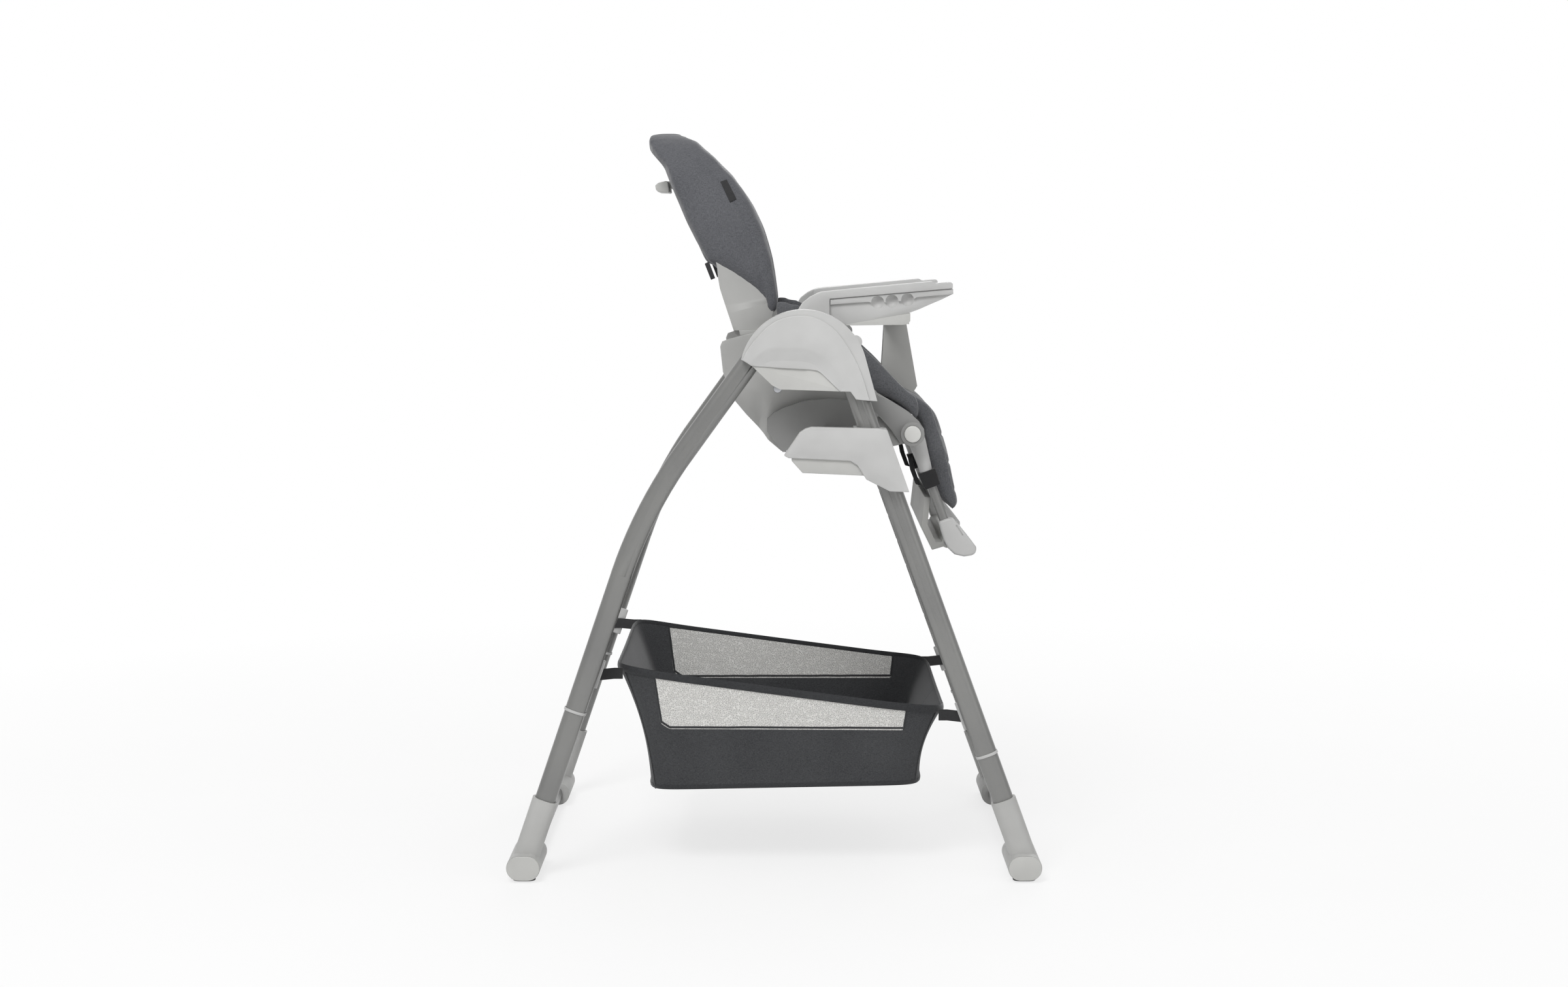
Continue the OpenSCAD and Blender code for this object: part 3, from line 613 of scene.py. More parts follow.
# %% Rounded copies
HARD = (
    (0, "leg_tube", tube_paint, "front_leg_right front_leg_left rear_leg_right rear_leg_left front_floor_bar "
                                "rear_floor_bar legrest_tubes"),
    (1.0, "leg_tube", tube_paint, "rear_knuckles"),
    (2.4, "foot_plastic", plastic_foot, "front_foot_right front_foot_left rear_foot_right rear_foot_left"),
    (1.2, "foot_plastic", plastic_lever, "front_end_caps rear_end_caps"),
    (0.8, "glide_rubber", rubber, "front_glides rear_glides"),
    (0.5, "light_plastic", plastic_light, "front_collars rear_collars"),
    (1.2, "light_plastic", plastic_light, "carriages_inner"),
    (1.5, "light_plastic", plastic_light, "hinge_covers_inner"),
    (1.6, "light_plastic", plastic_light, "front_basket_hooks rear_basket_hooks"),
    (1.6, "light_plastic", plastic_button, "legrest_button_right legrest_button_left"),
    (2.2, "light_plastic", plastic_lever,
     "fold_lever_right fold_lever_left height_lever_right height_lever_left"),
    (2.4, "light_plastic", plastic_lever, "crotch_post"),
    # The seat brackets take the plastic whose darker grey is painted shade.
    (3.0, "light_plastic", plastic_bracket_painted_shade, "seat_brackets"),
    (2.0, "light_plastic", plastic_tread, "foot_plate"),
    (2.0, "shell_plastic", plastic_shell, "seat_shell back_shell"),
    (0.4, "pin_steel", steel, "foot_plate_pins"),
    (0.5, "pin_steel", steel, "hinge_pins leg_bolts recline_pins"),
    (0.6, "pin_steel", steel, "arm_screws"),
)


def finish_hard(node, edge, slot, finish):
    piece = cad_copy(node)
    if edge:
        round_edges(piece, edge)
    smooth(piece)
    dress(piece, body_of(frame["nodes"][node])[0], slot, finish)
    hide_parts(node)
    return piece


finished = {node: finish_hard(node, *row) for *row, nodes in HARD for node in nodes.split()}
print("hard pieces:", len(finished), "with", sum(len(p.data.polygons) for p in finished.values()), "faces")

# %% [markdown]
# Two of these copies need more than a rounded edge. The seat shell's sides curve in under the seat behind the
# carriage, which is why they look dark from outside. The backrest's shell narrows at its top, as its cover
# does, so that no corner of it pokes through the fabric.

# %% Curved shells
BACK_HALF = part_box("back_pad")[1][1] / MM
BACK_TOP, BACK_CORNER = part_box("back_pad")[1][2] / MM, 95
UNDER_TOP, UNDER_DEEP, UNDER_IN = 698, 96, 40
FLANGE_EDGE = [(-79, 878), (-72, 862), (-26, 800), (-14, 796)]
FLANGE_DEEP, HEM_REACH, HEM_MOVE = 22, 24, (13, 19)
NARROWER = 0.985


def round_top(points):
    """Draw a shape in towards the middle as it nears the backrest's top, by a quarter circle."""
    above = np.clip(points[:, 2] - (BACK_TOP - BACK_CORNER), 0, BACK_CORNER - 1)
    half = BACK_HALF - BACK_CORNER + np.sqrt(BACK_CORNER ** 2 - above ** 2)
    points[:, 1] *= half / BACK_HALF
    return points


def curve_under(points):
    """Bring the lower part of the side panels in, behind the bracket."""
    behind = ease((-6 - points[:, 0]) / 14) * (np.abs(points[:, 1]) > 150)
    share = ease((UNDER_TOP - points[:, 2]) / UNDER_DEEP) * behind
    points[:, 1] -= np.sign(points[:, 1]) * UNDER_IN * share
    return points


def meet_hem(points):
    """Bring the front edge of the side flanges up to the cover's hem, so that no light shows between them."""
    flange = np.abs(points[:, 1]) > BACK_HALF - FLANGE_DEEP
    near = ease(1 - away(points[:, [0, 2]], FLANGE_EDGE) / HEM_REACH) * flange
    points[:, 0] += HEM_MOVE[0] * near
    points[:, 2] += HEM_MOVE[1] * near
    return points


cut_grid(finished["back_shell"], 12, axes=(2,))
reshape(finished["back_shell"], lambda points: round_top(meet_hem(points) * [1, NARROWER, 1]))
cut_grid(finished["seat_shell"], 7)
reshape(finished["seat_shell"], curve_under)


# %% [markdown]
# ## The domed hinge covers
# A big half-round moulding hides the folding hinge on each side. It has a rounded rim band, a fine seam, a
# domed face and a scoop where a finger lifts the lever below. A flat CAD plate has none of that. The rim is
# the CAD shape with its face set back, and the domed face is a thin plate on top of it. The plate is cut into
# a grid, because a flat face has no vertices to move, and its front is then raised by the distance from its
# edge.

# %% Hinge covers
HINGE_SEAM = [(-43.6, 735.3), (-33.7, 753.8), (-11, 779), (9.2, 791.6), (34.5, 796.6), (59.7, 792.8),
              (84.6, 776.6), (104.9, 749), (120.2, 718.7), (132.8, 678.9)]
HINGE_FOOT = [(113.6, 680.9), (106, 691.6), (91.8, 691.9), (64.9, 717.7), (59.8, 721), (49.7, 722.4),
              (2.9, 724.9), (-31.2, 727.6)]
SCOOP_TOP = [(-30.5, 727), (-27.4, 733.5), (-18.6, 742.9), (-5.9, 750.2), (16, 751.4), (39.6, 750.6),
             (59.8, 744.6), (80, 726.5), (92, 709)]
FACE_BACK, FACE_FRONT, RIM_BACK, RIM_KEPT = 282.6, 285.0, 282, 0.27
HINGE_DOME, CARRIAGE_DOME = (2.6, 30), (2.4, 16)
SCOOP_STEP, SCOOP_FALL = (0.9, 2.2), (2.4, 24)


def raised(points, outline, height, run):
    """How much a domed face rises at each (X, Z) point inside its outline: to its height, over a run."""
    return height * ease(away(points, [*outline, outline[0]]) / run)


def lift_front(points, back, front, rise):
    """Move the front of a thin plate along Y, and leave its back."""
    share = np.clip((points[:, 1] - back - 1.0) / (front - back - 1.0), 0, 1)
    points[:, 1] += share * rise
    return points


def hinge_face():
    outline = flowing(HINGE_SEAM) + HINGE_FOOT
    face = plate("hinge_face", outline, FACE_BACK, FACE_FRONT)
    round_edges(face, 0.8, 2)
    cut_grid(face, 3)
    scoop_line = flowing(SCOOP_TOP)

    def change(points):
        flat = points[:, [0, 2]]
        scoop = inside(flat, scoop_line + HINGE_FOOT[2:])
        into = away(flat, scoop_line)
        sunk = sum(depth * ease(into / run) for depth, run in (SCOOP_STEP, SCOOP_FALL))
        rise = raised(flat, outline, *HINGE_DOME) - scoop * sunk
        return lift_front(points, FACE_BACK, FACE_FRONT, rise)

    reshape(face, change)
    smooth(face, 50)
    return face


def hinge_rim():
    rim = cad_copy("hinge_cover_outer_left", "hinge_rim")
    round_edges(rim, 2.0)

    def change(points):
        front = points[:, 1] > RIM_BACK
        points[front, 1] = RIM_BACK + (points[front, 1] - RIM_BACK) * RIM_KEPT
        return points

    reshape(rim, change)
    smooth(rim)
    return rim


hinge_cover_left = joined("hinge_cover_left", hinge_rim(), hinge_face())
both_sides(hinge_cover_left, "hinge_cover_right", ("hinge_cover_outer_left", "hinge_cover_outer_right"),
           "front_frame", "light_plastic", plastic_light)
print("hinge cover:", len(hinge_cover_left.data.polygons), "faces")

# %% [markdown]
# ## The height carriage covers
# The seat hangs on a carriage that slides on each front leg. Its cover is the same kind of moulding as the
# hinge's: softly domed, with wide rounded shoulders. Here the CAD shape is close, so its own front face is
# cut and raised.

# %% Carriage covers
CARRIAGE = [(14, 603), (35.7, 635.1), (44, 640.5), (51.9, 642.7), (144.1, 640.5), (157.1, 638.3),
            (187.9, 552.2), (160.7, 553.3), (128.1, 570), (115.9, 589.4), (105.7, 595.7), (57.5, 597.8),
            (20.6, 599.6)]


def carriage_cover():
    cover = cad_copy("carriage_outer_left", "carriage_cover_left")
    round_edges(cover, 2.2)
    cut_grid(cover, 4)
    reshape(cover, lambda points: lift_front(points, FACE_BACK, FACE_FRONT,
                                             raised(points[:, [0, 2]], CARRIAGE, *CARRIAGE_DOME)))
    smooth(cover, 45)
    return cover


both_sides(carriage_cover(), "carriage_cover_right", ("carriage_outer_left", "carriage_outer_right"),
           "seat", "light_plastic", plastic_light)

# %% [markdown]
# ## Padded covers
# The back, the seat and the leg pad are wadding in a sewn cover. Modelled flat, they look like board. Each
# starts as plates of the right outline, a little small. A voxel remesh makes them one skin of even quads,
# smoothing rounds the corners, and a short cloth simulation with air pressure inside swells the skin between
# its corners. How far a point may move is capped, so a cover can't grow into its neighbours. Seams are
# pressed in afterwards, because a remesh would erase them.


# %% Puffing a cover
PRESSURE, STEPS = 4.0, 20
SEAM_DEEP, CHANNEL_DEEP, SEAM_WIDE = 1.7, 1.5, 2.4
ELSEWHERE = 99


def puffed(piece, voxel, rounds, cap):
    """One smooth skin, swollen by air. voxel and cap are in millimetres."""
    modify(piece, "REMESH", mode="VOXEL", voxel_size=voxel * MM, use_smooth_shade=True)
    modify(piece, "SMOOTH", factor=0.5, iterations=rounds)
    rest = np.array([v.co for v in piece.data.vertices])
    only(piece)
    cloth = piece.modifiers.new("air", "CLOTH")
    cloth.settings.quality = 4
    cloth.settings.use_pressure = True
    cloth.settings.uniform_pressure_force = PRESSURE
    cloth.settings.effector_weights.gravity = 0
    for step in range(1, STEPS + 1):
        scene.frame_set(step)
    swollen = piece.evaluated_get(bpy.context.evaluated_depsgraph_get()).data
    moved = np.array([v.co for v in swollen.vertices]) - rest
    piece.modifiers.remove(cloth)
    scene.frame_set(1)
    length = np.linalg.norm(moved, axis=1)[:, None] + 1e-9
    moved *= cap * MM * np.tanh(length / (cap * MM)) / length
    piece.data.vertices.foreach_set("co", (rest + moved).astype(np.float32).ravel())
    modify(piece, "SMOOTH", factor=0.5, iterations=2)
    modify(piece, "SUBSURF", levels=1, render_levels=1)
    bpy.ops.object.shade_smooth()
    return piece


def press_seam(piece, near, depth, width):
    """Press a seam in along the normals. near gives each point's distance from the seam."""
    points = points_of(piece)
    normals = np.array([v.normal for v in piece.data.vertices])
    reshape(piece, lambda _: points - normals * (depth * np.exp(-(near(points) / width) ** 2))[:, None])


def swell(piece, distance):
    """Move the whole skin outwards by a distance in millimetres."""
    press_seam(piece, lambda points: 0 * points[:, 0], -distance, 1)


def every(values, start, pitch):
    """Each value's distance from the nearest of a row of seams."""
    return np.abs((values - start + pitch / 2) % pitch - pitch / 2)


def beside(line, distance):
    """A line drawn a distance to the right of another one."""
    line = np.array(line, float)
    along = np.gradient(line, axis=0)
    along /= np.linalg.norm(along, axis=1)[:, None]
    return [tuple(p) for p in line + distance * np.stack([along[:, 1], -along[:, 0]], axis=1)]


# %% [markdown]
# ## The back cover
# The cover is a sock over the backrest's shell. Seen from the side it is a wide curved wing that ends in a
# soft peak, and a seam follows its front edge. Between the wings lies the padded middle, with sewn channels
# across it. The top corners are rounded by squeezing the upper points towards the middle, which also draws
# the wings in, as in the real cover. Below the wings it goes on as a flat panel, down to the cushion.

# %% Back cover
WING = [(-185.4, 1046), (-181, 1052), (-168.8, 1055.3), (-142.9, 1054.4), (-115.3, 1040.7), (-87.7, 1017.8),
        (-60, 990.3), (-36.9, 958.1), (-18.4, 921.3), (-4.6, 879.8), (2.9, 842.8), (7.5, 814), (6.5, 803),
        (0.5, 798), (-5, 804), (-13, 820.5), (-21, 828), (-35, 837), (-51, 846.5), (-66.7, 856.5), (-82, 866),
        (-92, 872), (-108, 902.9), (-121.9, 930.5), (-131.5, 953.5), (-145.3, 985.7), (-154.4, 1008.6),
        (-175.4, 1031.5)]
MIDDLE = [(-175.4, 1031.5), (-185.4, 1046), (-181, 1052), (-168.8, 1055.3), (-150, 1052), (-138, 1035),
          (-124, 1012), (-98, 955), (-74, 905), (-54, 850), (-30, 774), (-48, 772), (-80, 868),
          (-93.7, 870.6), (-108, 902.9), (-121.9, 930.5), (-131.5, 953.5), (-145.3, 985.7), (-154.4, 1008.6)]
WING_IN = BACK_HALF - 47
FRONT_EDGE = WING[4:12]
SEAM_IN = 20
CHANNELS, CHANNEL_TOP = (812, 50), 1010
LOWER = [(-36, 792), (-5, 714), (2, 694), (-3, 684), (-14, 686), (-25, 707), (-48, 776)]


def back_cover():
    wings = [plate("wing", WING, side * (WING_IN + 3), side * (BACK_HALF - 2.5)) for side in (1, -1)]
    middle = plate("middle", MIDDLE, -WING_IN - 5, WING_IN + 5)
    lower = plate("lower", LOWER, -BACK_HALF + 16, BACK_HALF - 16)
    cover = joined("back_cover", middle, lower, *wings)
    modify(cover, "REMESH", mode="VOXEL", voxel_size=4 * MM)
    reshape(cover, round_top)
    puffed(cover, 4.4, 3, 4)
    swell(cover, 1.2)
    seam = beside(flowing(FRONT_EDGE), SEAM_IN)

    def near(points):
        wide = np.abs(points[:, 1])
        side = away(points[:, [0, 2]], seam) + np.where(wide > WING_IN + 15, 0, ELSEWHERE)
        front = (wide < WING_IN - 4) & (points[:, 2] < CHANNEL_TOP)
        return np.minimum(side, every(points[:, 2], *CHANNELS) + np.where(front, 0, ELSEWHERE))

    press_seam(cover, near, SEAM_DEEP, SEAM_WIDE)
    return cover


back = dress(back_cover(), "backrest", "cover_fabric", cloth_cover)
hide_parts("back_pad")
print("back cover:", len(back.data.polygons), "faces")

# %% [markdown]
# A small dark woven patch lies across the seam on one wing, stitched flat. It is left bare.

# %% Bare patch
PATCH = [(-76.1, 982.3), (-67.5, 985.5), (-53.3, 957.9), (-62.5, 953.3)]


def bare_patch():
    patch = plate("bare_patch", PATCH, -BACK_HALF - 3, -BACK_HALF - 2.4)
    cut_grid(patch, 3)
    modify(patch, "SHRINKWRAP", target=back, wrap_method="PROJECT", use_project_y=True,
           use_positive_direction=True, use_negative_direction=True, offset=0.5 * MM)
    modify(patch, "SOLIDIFY", thickness=0.7 * MM, offset=1)
    smooth(patch)
    return patch


dress(bare_patch(), "backrest", "cover_fabric", webbing)

# %% [markdown]
# ## The seat, knee and leg cover
# One cover lines the seat, rolls over its front edge and hangs down as the leg pad. It is made of overlapping
# plates: the cushion, two side linings that rise to the arms, a flap that wraps over the front edge of each
# side panel, the roll at the knee and the long leg pad. The legrest tilts at the knee, so this cover follows
# the seat behind the knee and the legrest below it, and bends between.

# %% Seat cover
SEAT_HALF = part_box("seat_pad")[1][1] / MM
KNEE_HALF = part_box("knee_pad")[1][1] / MM
SEAT_SEAMS, LEG_SEAMS, EDGE_SEAM = (20, 44), (540, 40), 12
CUSHION = [(-12, 649.5), (176, 649.5), (196, 657), (206, 668), (202, 677), (186.6, 682.5), (160, 686),
           (140, 674), (60, 668), (-12, 667)]
LINING = [(28, 652), (152, 652), (150, 690), (128, 730), (107, 758), (96, 776), (84, 777), (60, 800),
          (36, 811), (19, 815), (6, 818), (1, 813), (0, 800), (8, 785), (30, 770)]
FLAP = [(90, 766), (97, 777), (108.6, 765.8), (125.2, 752.4), (155, 725.2), (180, 698.5), (193, 686.5),
        (204, 680), (208, 664), (207, 650), (202, 648), (197, 656), (189, 663.5), (170.5, 674), (148, 682.8),
        (125, 691), (104, 722)]
LEG_PAD = [(180, 655), (206, 652), (216, 634), (221, 600), (226, 562), (238, 538), (249, 520), (258, 510.5),
           (264, 516), (264.5, 522), (261.5, 534.2), (248, 600), (236.5, 637), (227, 662), (216, 671),
           (199, 679.5), (184, 683)]


def seat_cover():
    cushion = plate("cushion", CUSHION[:1] + [(150, 649.5), (150, 680)] + CUSHION[7:],
                    -SEAT_HALF + 2, SEAT_HALF - 2)
    knee = plate("knee", CUSHION, -KNEE_HALF + 3, KNEE_HALF - 3)
    leg = plate("leg", LEG_PAD, -KNEE_HALF + 3, KNEE_HALF - 3)
    linings = [plate("lining", LINING, side * (SEAT_HALF - 8), side * (SEAT_HALF - 0.6)) for side in (1, -1)]
    flaps = [plate("flap", FLAP, side * (SEAT_HALF - 8), side * (SEAT_HALF + 7.5)) for side in (1, -1)]
    cover = joined("seat_cover", cushion, knee, leg, *linings, *flaps)
    puffed(cover, 4.2, 3, 2.4)

    def near(points):
        x, wide, z = points[:, 0], np.abs(points[:, 1]), points[:, 2]
        level = (z > 655) & (wide < SEAT_HALF - 14) & (x < 140)
        across = every(x, *SEAT_SEAMS) + np.where(level, 0, ELSEWHERE)
        down = (z < 640) & (z > 520) & (wide < KNEE_HALF - 16)
        legs = every(z, *LEG_SEAMS) + np.where(down, 0, ELSEWHERE)
        edge = np.abs(wide - (KNEE_HALF - EDGE_SEAM)) + np.where(x > 196, 0, ELSEWHERE)
        return np.minimum(np.minimum(across, legs), edge)

    press_seam(cover, near, CHANNEL_DEEP, SEAM_WIDE)
    return cover


seat_lining = dress(seat_cover(), None, "cover_fabric", cloth_seat)
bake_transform(seat_lining, "seat", "legrest", start=(0.190, 0, 0.660), end=(0.232, 0, 0.590))
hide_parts("seat_pad", "knee_pad", "leg_pad")
print("seat cover:", len(seat_lining.data.polygons), "faces")

# %% [markdown]
# ## The recline lever
# A flat handle sticks out behind the backrest. It is one moulding: a wide grip with a rounded nose, and a
# stem that goes into the shell.

# %% Lever
GRIP = [(-175, 981), (-174.2, 974.5), (-171, 971.2), (-156, 970.4), (-154.5, 972), (-156.5, 986),
        (-159, 987.4), (-170, 984.8)]
grip = plate("grip", GRIP, -45, 45)
stem = plate("stem", [(-162, 976.6), (-139, 976.6), (-139, 987.4), (-162, 987.4)], -18, 18)
for part, edge in ((grip, 2.6), (stem, 1.2)):
    round_edges(part, edge)
    smooth(part)
lever = dress(joined("recline_handle", grip, stem), "recline_lever", "light_plastic", plastic_lever)
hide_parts("recline_lever")


# %% [markdown]
# ## The basket
# A sewn fabric basket hangs between the legs from its four corners. Its rim is a bound edge, its ends are
# plain cloth that curves in, its floor sags, and each long side has a window of net. It is built by hand: a
# grid is wrapped round the basket's plan from the middle of the floor up to the rim, and each ring of it is
# placed by a formula. The thickness comes from Solidify. Each point then gets its distance from the window's
# edge, as an attribute that the finish reads, so the window's edge is sharp wherever it crosses a face, and
# it moves with the cloth.

# %% Basket shell
RIM = ((-225.5, 297.5), (244, 235.5))
FLOOR = ((-180, 113), (212, 122))
RIM_HALF, FLOOR_HALF = 223, 200
WINDOW = [(-172, 284), (190, 238), (186, 203), (-150, 204), (-163, 212)]
FLOOR_MIDDLE, FLOOR_SAG, FLOOR_CURL = 16, 3.5, 3
END_SAG, SIDE_SAG, SIDE_DROP, END_DROP, BULGE = 11, 3.5, 5.5, 9, 0.05
CLOTH_THICK = 1.4
AROUND, UP, ACROSS = 176, 26, 14


def plan(turn):
    """A rounded rectangle, from -1 to 1 both ways, at a share of a turn."""
    c, s = math.cos(2 * math.pi * turn), math.sin(2 * math.pi * turn)
    return math.copysign(abs(c) ** 0.16, c), math.copysign(abs(s) ** 0.16, s)


def basket_point(turn, up):
    """A point of the basket: up is 0 at the floor's edge, 1 at the rim, and below 0 across the floor."""
    px, py = plan(turn)
    share = (px + 1) / 2
    low = [FLOOR[0][k] + (FLOOR[1][k] - FLOOR[0][k]) * share for k in (0, 1)]
    high = [RIM[0][k] + (RIM[1][k] - RIM[0][k]) * share for k in (0, 1)]
    middle = (1 - abs(px) ** 6)
    if up < 0:
        near = 1 + up
        z = low[1] - FLOOR_SAG * (1 - near ** 2) + FLOOR_CURL * near ** 8
        return (FLOOR_MIDDLE + (low[0] - FLOOR_MIDDLE) * near, FLOOR_HALF * py * near, z)
    sag = math.sin(math.pi * up)
    rise = up + BULGE * sag
    x, z = (low[k] + (high[k] - low[k]) * up for k in (0, 1))
    y = (FLOOR_HALF + (RIM_HALF - FLOOR_HALF) * rise) * py
    inward = sag * (1 - abs(py) ** 5)
    x -= px * (END_SAG * inward + SIDE_SAG * sag)
    y -= py * SIDE_SAG * sag * middle
    z -= SIDE_DROP * up ** 3 * middle * abs(py)
    z -= END_DROP * up ** 2 * (1 - abs(py) ** 4)
    return (x, y, z)


def wrapped(name, ups):
    """A sheet wrapped round the basket with one ring of vertices at each height."""
    made = started(name, bpy.ops.mesh.primitive_grid_add, x_subdivisions=AROUND, y_subdivisions=len(ups) - 1)
    points = [basket_point(i / AROUND, up) for up in ups for i in range(AROUND + 1)]
    made.data.vertices.foreach_set("co", (np.array(points) * MM).astype(np.float32).ravel())
    edit(made)
    bpy.ops.mesh.remove_doubles(threshold=0.2 * MM)
    bpy.ops.mesh.normals_make_consistent(inside=False)
    done()
    return made


def basket_shell():
    rings = [-1 + (i / ACROSS) ** 0.8 for i in range(ACROSS)] + [i / UP for i in range(UP + 1)]
    shell = wrapped("basket_shell", rings)
    modify(shell, "SOLIDIFY", thickness=CLOTH_THICK * MM, offset=-1)
    flat = points_of(shell)[:, [0, 2]]
    depth = away(flat, [*WINDOW, WINDOW[0]]) * np.where(inside(flat, WINDOW), 1, -1)
    told = shell.data.attributes.new("window_depth", "FLOAT", "POINT")
    told.data.foreach_set("value", depth.astype(np.float32))
    smooth(shell, 60)
    return shell


shell = dress(basket_shell(), "front_frame", "basket_fabric", cloth_basket)
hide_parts("basket")
print("basket:", len(shell.data.polygons), "faces")

# %% [markdown]
# Every cut edge of the basket is bound with a folded tape: round the rim, along the floor's edge, up the
# corners and round the windows. A tape is swept along a line on the cloth: a flat oval ring of vertices at
# each point of the line, with faces between one ring and the next.


# %% Swept tapes
RIM_TAPE, FLOOR_TAPE, CORNER_TAPE, WINDOW_TAPE = (11, 3.4), (7, 3.0), (4.6, 2.4), (3.8, 3.6)
CORNER_TURNS = (0.115, 0.385, 0.615, 0.885)


def swept(name, points, width, thick, closed=False, up=(0, 0, 1), sides=8):
    """A tape along a line of points. Its width follows up, and each size may be a list, one per point."""
    points = [Vector(p) for p in points]
    count = len(points)
    widths, thicks = (size if isinstance(size, list) else [size] * count for size in (width, thick))
    made = started(name, bpy.ops.mesh.primitive_circle_add, vertices=sides, radius=0.5)
    section = [(v.co[0], v.co[1]) for v in made.data.vertices]
    mesh = bmesh.new()
    rings = []
    for i, p in enumerate(points):
        before = points[i - 1] if i or closed else points[0]
        after = points[(i + 1) % count] if i < count - 1 or closed else points[-1]
        along = (after - before).normalized()
        rise = Vector(up) - Vector(up).dot(along) * along
        if rise.length < 0.1:
            rise = Vector((1, 0, 0)) - along[0] * along
        rise.normalize()
        out = along.cross(rise)
        rings.append([mesh.verts.new((p + a * thicks[i] * out + b * widths[i] * rise) * MM)
                      for a, b in section])
    for first, second in list(zip(rings, rings[1:])) + ([(rings[-1], rings[0])] if closed else []):
        for k in range(sides):
            mesh.faces.new((first[k], first[(k + 1) % sides], second[(k + 1) % sides], second[k]))
    if not closed:
        mesh.faces.new(rings[0][::-1])
        mesh.faces.new(rings[-1])
    bmesh.ops.recalc_face_normals(mesh, faces=mesh.faces)
    mesh.to_mesh(made.data)
    mesh.free()
    made.location = (0, 0, 0)
    smooth(made, 60)
    return made


def ring_at(up):
    """The basket's ring at one height."""
    return [basket_point(i / AROUND, up) for i in range(AROUND)]


def on_cloth(x, z, side):
    """The middle of the cloth's thickness on one long side of the basket, near an (X, Z) place."""
    _, place, normal, _ = shell.closest_point_on_mesh((x * MM, side * (RIM_HALF + 8) * MM, z * MM))
    return (place - CLOTH_THICK / 2 * MM * normal) / MM


def bindings():
    made = [swept("rim_tape", ring_at(1.0), *RIM_TAPE, closed=True),
            swept("floor_tape", ring_at(0.02), *FLOOR_TAPE, closed=True)]
    for turn in CORNER_TURNS:
        near = min(range(AROUND), key=lambda i: abs(i / AROUND - turn))
        line = [basket_point(near / AROUND, i / 18) for i in range(19)]
        made.append(swept("corner_tape", line, *CORNER_TAPE, up=(0, 1, 0)))
    for side in (1, -1):
        line = []
        for a, b in zip(WINDOW, WINDOW[1:] + WINDOW[:1]):
            line += [(a[0] + (b[0] - a[0]) * i / 16, a[1] + (b[1] - a[1]) * i / 16) for i in range(16)]
        line = [on_cloth(x, z, side) for x, z in line]
        made.append(swept("window_tape", line, *WINDOW_TAPE, closed=True))
    return joined("basket_bindings", *made)


tapes = dress(bindings(), "front_frame", "basket_fabric", cloth_trim)

# %% [markdown]
# When the chair folds, the back legs bring the basket's back edge up to its front edge. The cloth can't ride
# on both pairs of legs; it rides on the front frame, and here its two pieces get meshes of their own.

# %% The basket's own meshes
for piece in (shell, tapes):
    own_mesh(piece)

# %% [markdown]
# ## Straps, bands and the harness
# The basket's corner straps, the elastic loops on the legrest and the harness are webbing. Webbing is flat
# and ribbed, so the CAD ribbons are kept at their size, with softened edges.

# %% Webbing
for node in ("front_basket_straps", "rear_basket_straps", "waist_straps", "back_strap", "shoulder_straps"):
    strap = cad_copy(node)
    round_edges(strap, 0.5, 2)
    smooth(strap)
    dress(strap, body_of(frame["nodes"][node])[0], "black_webbing", webbing)
    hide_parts(node)

buckle = cad_copy("harness_buckle")
round_edges(buckle, 2.4, 3)
smooth(buckle)
dress(buckle, "seat", "buckle_plastic", plastic_buckle)
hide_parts("harness_buckle")


# %% [markdown]
# ## The arms
# Each arm is a curved frame with a thick top band. Below the band the web is set back, with a ledge along it
# for a tray to slide on, and three round notches where the tray clicks in. The CAD arm has the sizes. Its
# parts are made again one by one here, because an edge can only be rounded well where the parts still stand
# apart. The notches are cut with a boolean, and their rounded ends are dented into the web with spheres.

# %% Arms
SIDE_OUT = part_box("seat_shell")[1][1] / MM
ARM_IN, ARM_OUT = (corner[1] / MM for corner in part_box("arm_left"))
EAR = arc((48, 782), 24, 285, 130, 12) + [(40, 812.5), (50.6, 820.8), (60, 825.5), (68, 827.9), (78.6, 829)]
BAND = [(224.3, 842.4), (228, 839.4), (250, 841.2), (252.6, 839.5), (252.8, 832.1), (78.6, 817.4)]
WEB = [(74, 817), (252.6, 832), (253.7, 824.6), (236, 816), (221.9, 810.1), (206, 803), (190.8, 797.4),
       (150, 789.6), (125, 785), (97.4, 780.6), (88, 781), (74, 788)]
LEDGE = [(79.5, 816.8), (253.4, 831.4), (253.7, 824.4), (201.3, 819.8), (196, 815.6), (140, 811.6),
         (133, 813.4), (79.5, 809.4)]
NOTCHES = [(146.5, 812.9), (166.8, 814.5), (188.9, 816.4)]
NOTCH_R, DENT_R, DENT_IN = 9, 10.4, 1.2


def cut_away(piece, tool):
    """Take one shape out of another, and remove the tool."""
    modify(piece, "BOOLEAN", operation="DIFFERENCE", object=tool, solver="EXACT")
    bpy.data.objects.remove(tool)


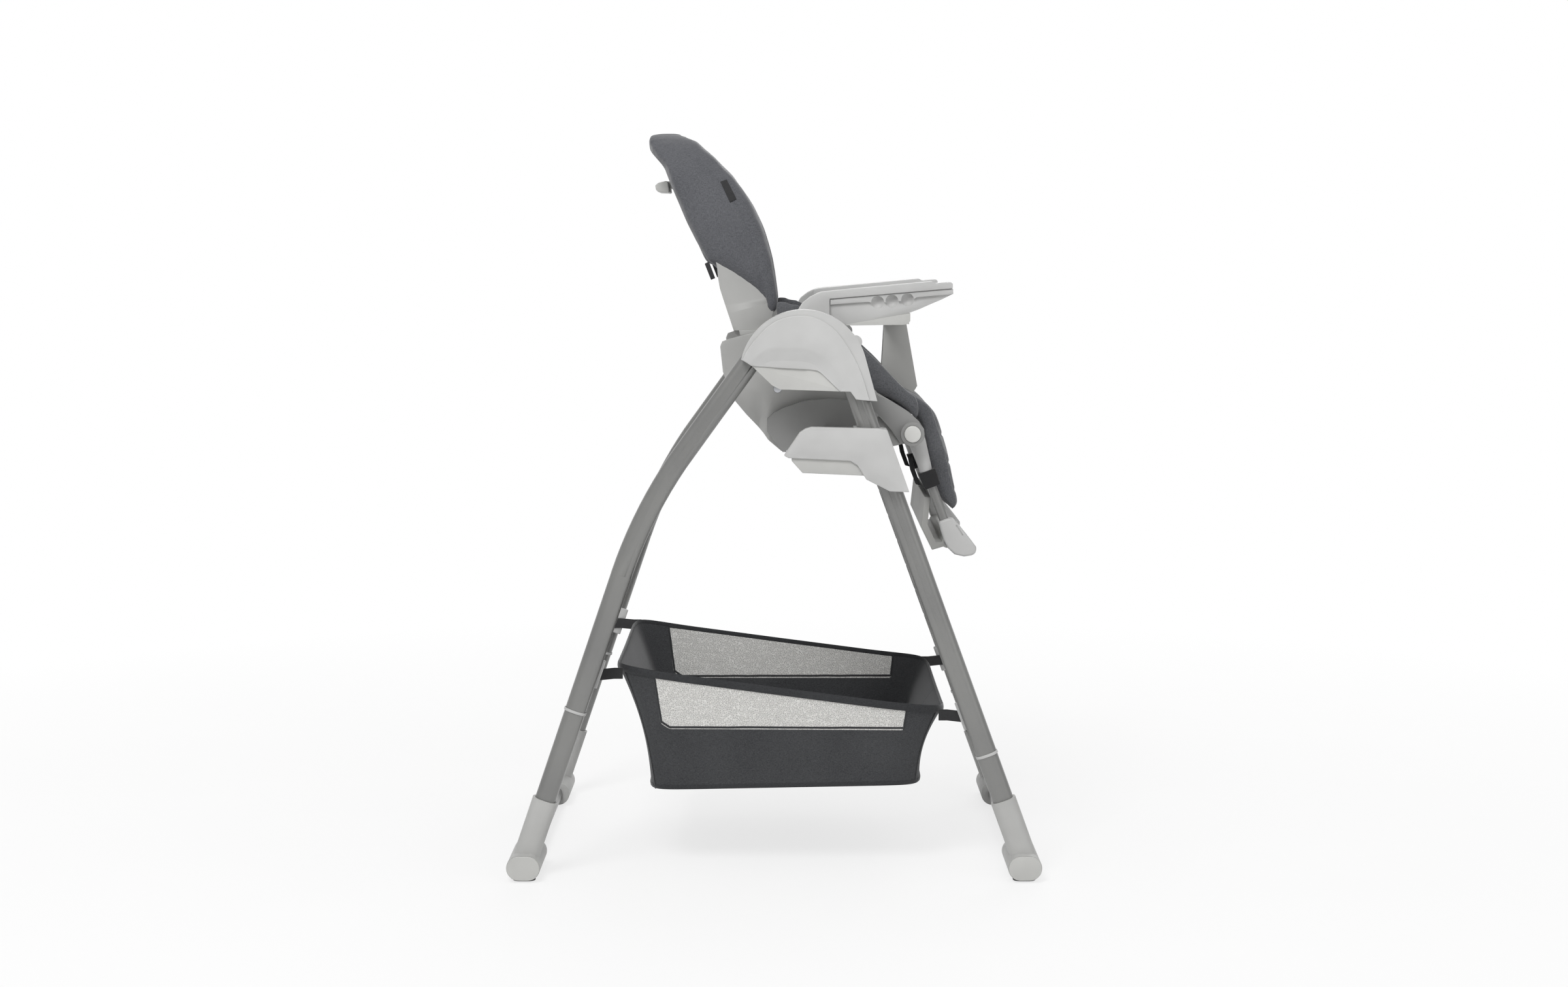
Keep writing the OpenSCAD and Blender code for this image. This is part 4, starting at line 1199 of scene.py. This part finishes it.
def arm():
    frame_outline = EAR + BAND + [(78.6, 782), (66, 770)]
    side = plate("arm_frame", frame_outline, SIDE_OUT + 0.2, ARM_OUT)
    round_edges(side, 1.6)
    band = plate("arm_band", [(58, 812), (60, 825.2), (68, 827.6), (78.6, 828.7)] + BAND,
                 ARM_IN, ARM_OUT - 0.4)
    round_edges(band, 2.0)
    web = plate("arm_web", WEB, ARM_IN + 4, ARM_OUT - 6)
    ledge = plate("arm_ledge", LEDGE, ARM_OUT - 7, ARM_OUT - 2.4)
    for x, z in NOTCHES:
        cut_away(ledge, started("notch", bpy.ops.mesh.primitive_cylinder_add, vertices=40,
                                radius=NOTCH_R * MM, depth=20 * MM, rotation=(math.radians(90), 0, 0),
                                location=(x * MM, ARM_OUT * MM, z * MM)))
        cut_away(web, started("dent", bpy.ops.mesh.primitive_uv_sphere_add, segments=40, ring_count=24,
                              radius=DENT_R * MM, location=(x * MM, (ARM_OUT - DENT_IN) * MM, z * MM)))
    round_edges(web, 1.2, 2)
    round_edges(ledge, 0.7, 2)
    for part in (side, band, web, ledge):
        smooth(part)
    return joined("arm_left_finished", side, band, web, ledge)


arm_left = arm()
both_sides(arm_left, "arm_right_finished", ("arm_left", "arm_right"), "seat", "light_plastic", plastic_light)
print("arm:", len(arm_left.data.polygons), "faces")

# %% [markdown]
# ## Legrest arms, loops and shoes
# The legrest's arms are round tapering mouldings that come out of a boss at the knee and grip the steel
# tubes. Elastic loops hold the leg pad to them, and smooth pointed shoes close the tubes' lower ends.

# %% Legrest
KNEE = (196.8, 625.9)
LEG_LEAN = math.radians(20.8)
ARM_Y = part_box("legrest_tubes")[1][1] / MM - 7
ARM_THICK = 18.6
SHOE = [(235.7, 498.1), (244, 501.6), (251.8, 504.2), (257.4, 502.3), (264, 495.4), (272.7, 484.6),
        (283, 471.6), (290.3, 461.9), (291, 455.8), (286.5, 449.9), (273, 447.8), (259.1, 451.1),
        (249.5, 460.2), (243.4, 472.4), (239.6, 485)]


def down_leg(distance, aside=0.0):
    """A place along the legrest, as (X, Z)."""
    return (KNEE[0] + math.sin(LEG_LEAN) * distance + math.cos(LEG_LEAN) * aside,
            KNEE[1] - math.cos(LEG_LEAN) * distance + math.sin(LEG_LEAN) * aside)


def legrest_arm():
    stations = [(0, 27, 2), (6, 26.4, 3), (18, 24.4, 3), (34, 21.6, 2), (50, 19.4, 1), (60, 18.2, 0),
                (63, 17.4, 0), (64, 15.5, 0)]
    line, widths, thicks = [], [], []
    for distance, width, aside in stations:
        x, z = down_leg(distance, aside)
        line.append((x, ARM_Y, z))
        widths.append(width)
        thicks.append(min(width, ARM_THICK))
    cone = swept("cone", line, widths, thicks, up=(1, 0, 0), sides=32)
    boss = plate("boss", arc(KNEE, 15.6, 0, 352, 44), ARM_Y - 9, ARM_Y + 9)
    round_edges(boss, 2.2)
    smooth(boss)
    return joined("legrest_arm", cone, boss)


def loop():
    band = plate("loop", [(206.2, 567), (230.8, 575.8), (238.4, 552.6), (216.2, 544.4)],
                 ARM_Y - 10.6, ARM_Y + 11.6)
    tab = plate("tab", [(192.2, 589), (198.2, 590.5), (203, 571), (211, 549), (203.5, 551), (195.5, 572)],
                ARM_Y - 10.4, ARM_Y - 6)
    for part in (band, tab):
        round_edges(part, 1.4, 3)
        smooth(part)
    return joined("legrest_loop", band, tab)


def shoe():
    made = plate("shoe", SHOE, ARM_Y - 10.4, ARM_Y + 10.5)
    round_edges(made, 4.5, 5)
    slot = plate("slot", [(260.6, 493), (262.4, 494), (271.6, 479.6), (270, 478.4)], ARM_Y + 9, ARM_Y + 14)
    cut_away(made, slot)
    smooth(made, 40)
    return made


for made, body, slot_name, finish, node in (
        (legrest_arm(), "legrest", "light_plastic", plastic_light, "legrest_arms"),
        (loop(), "legrest", "black_webbing", elastic, "legrest_band"),
        (shoe(), "footrest", "light_plastic", plastic_light, "footrest_shoes")):
    pair = joined(made.name + "s", made, mirrored(made, made.name + "_right"))
    dress(pair, body, slot_name, finish)
    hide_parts(node)
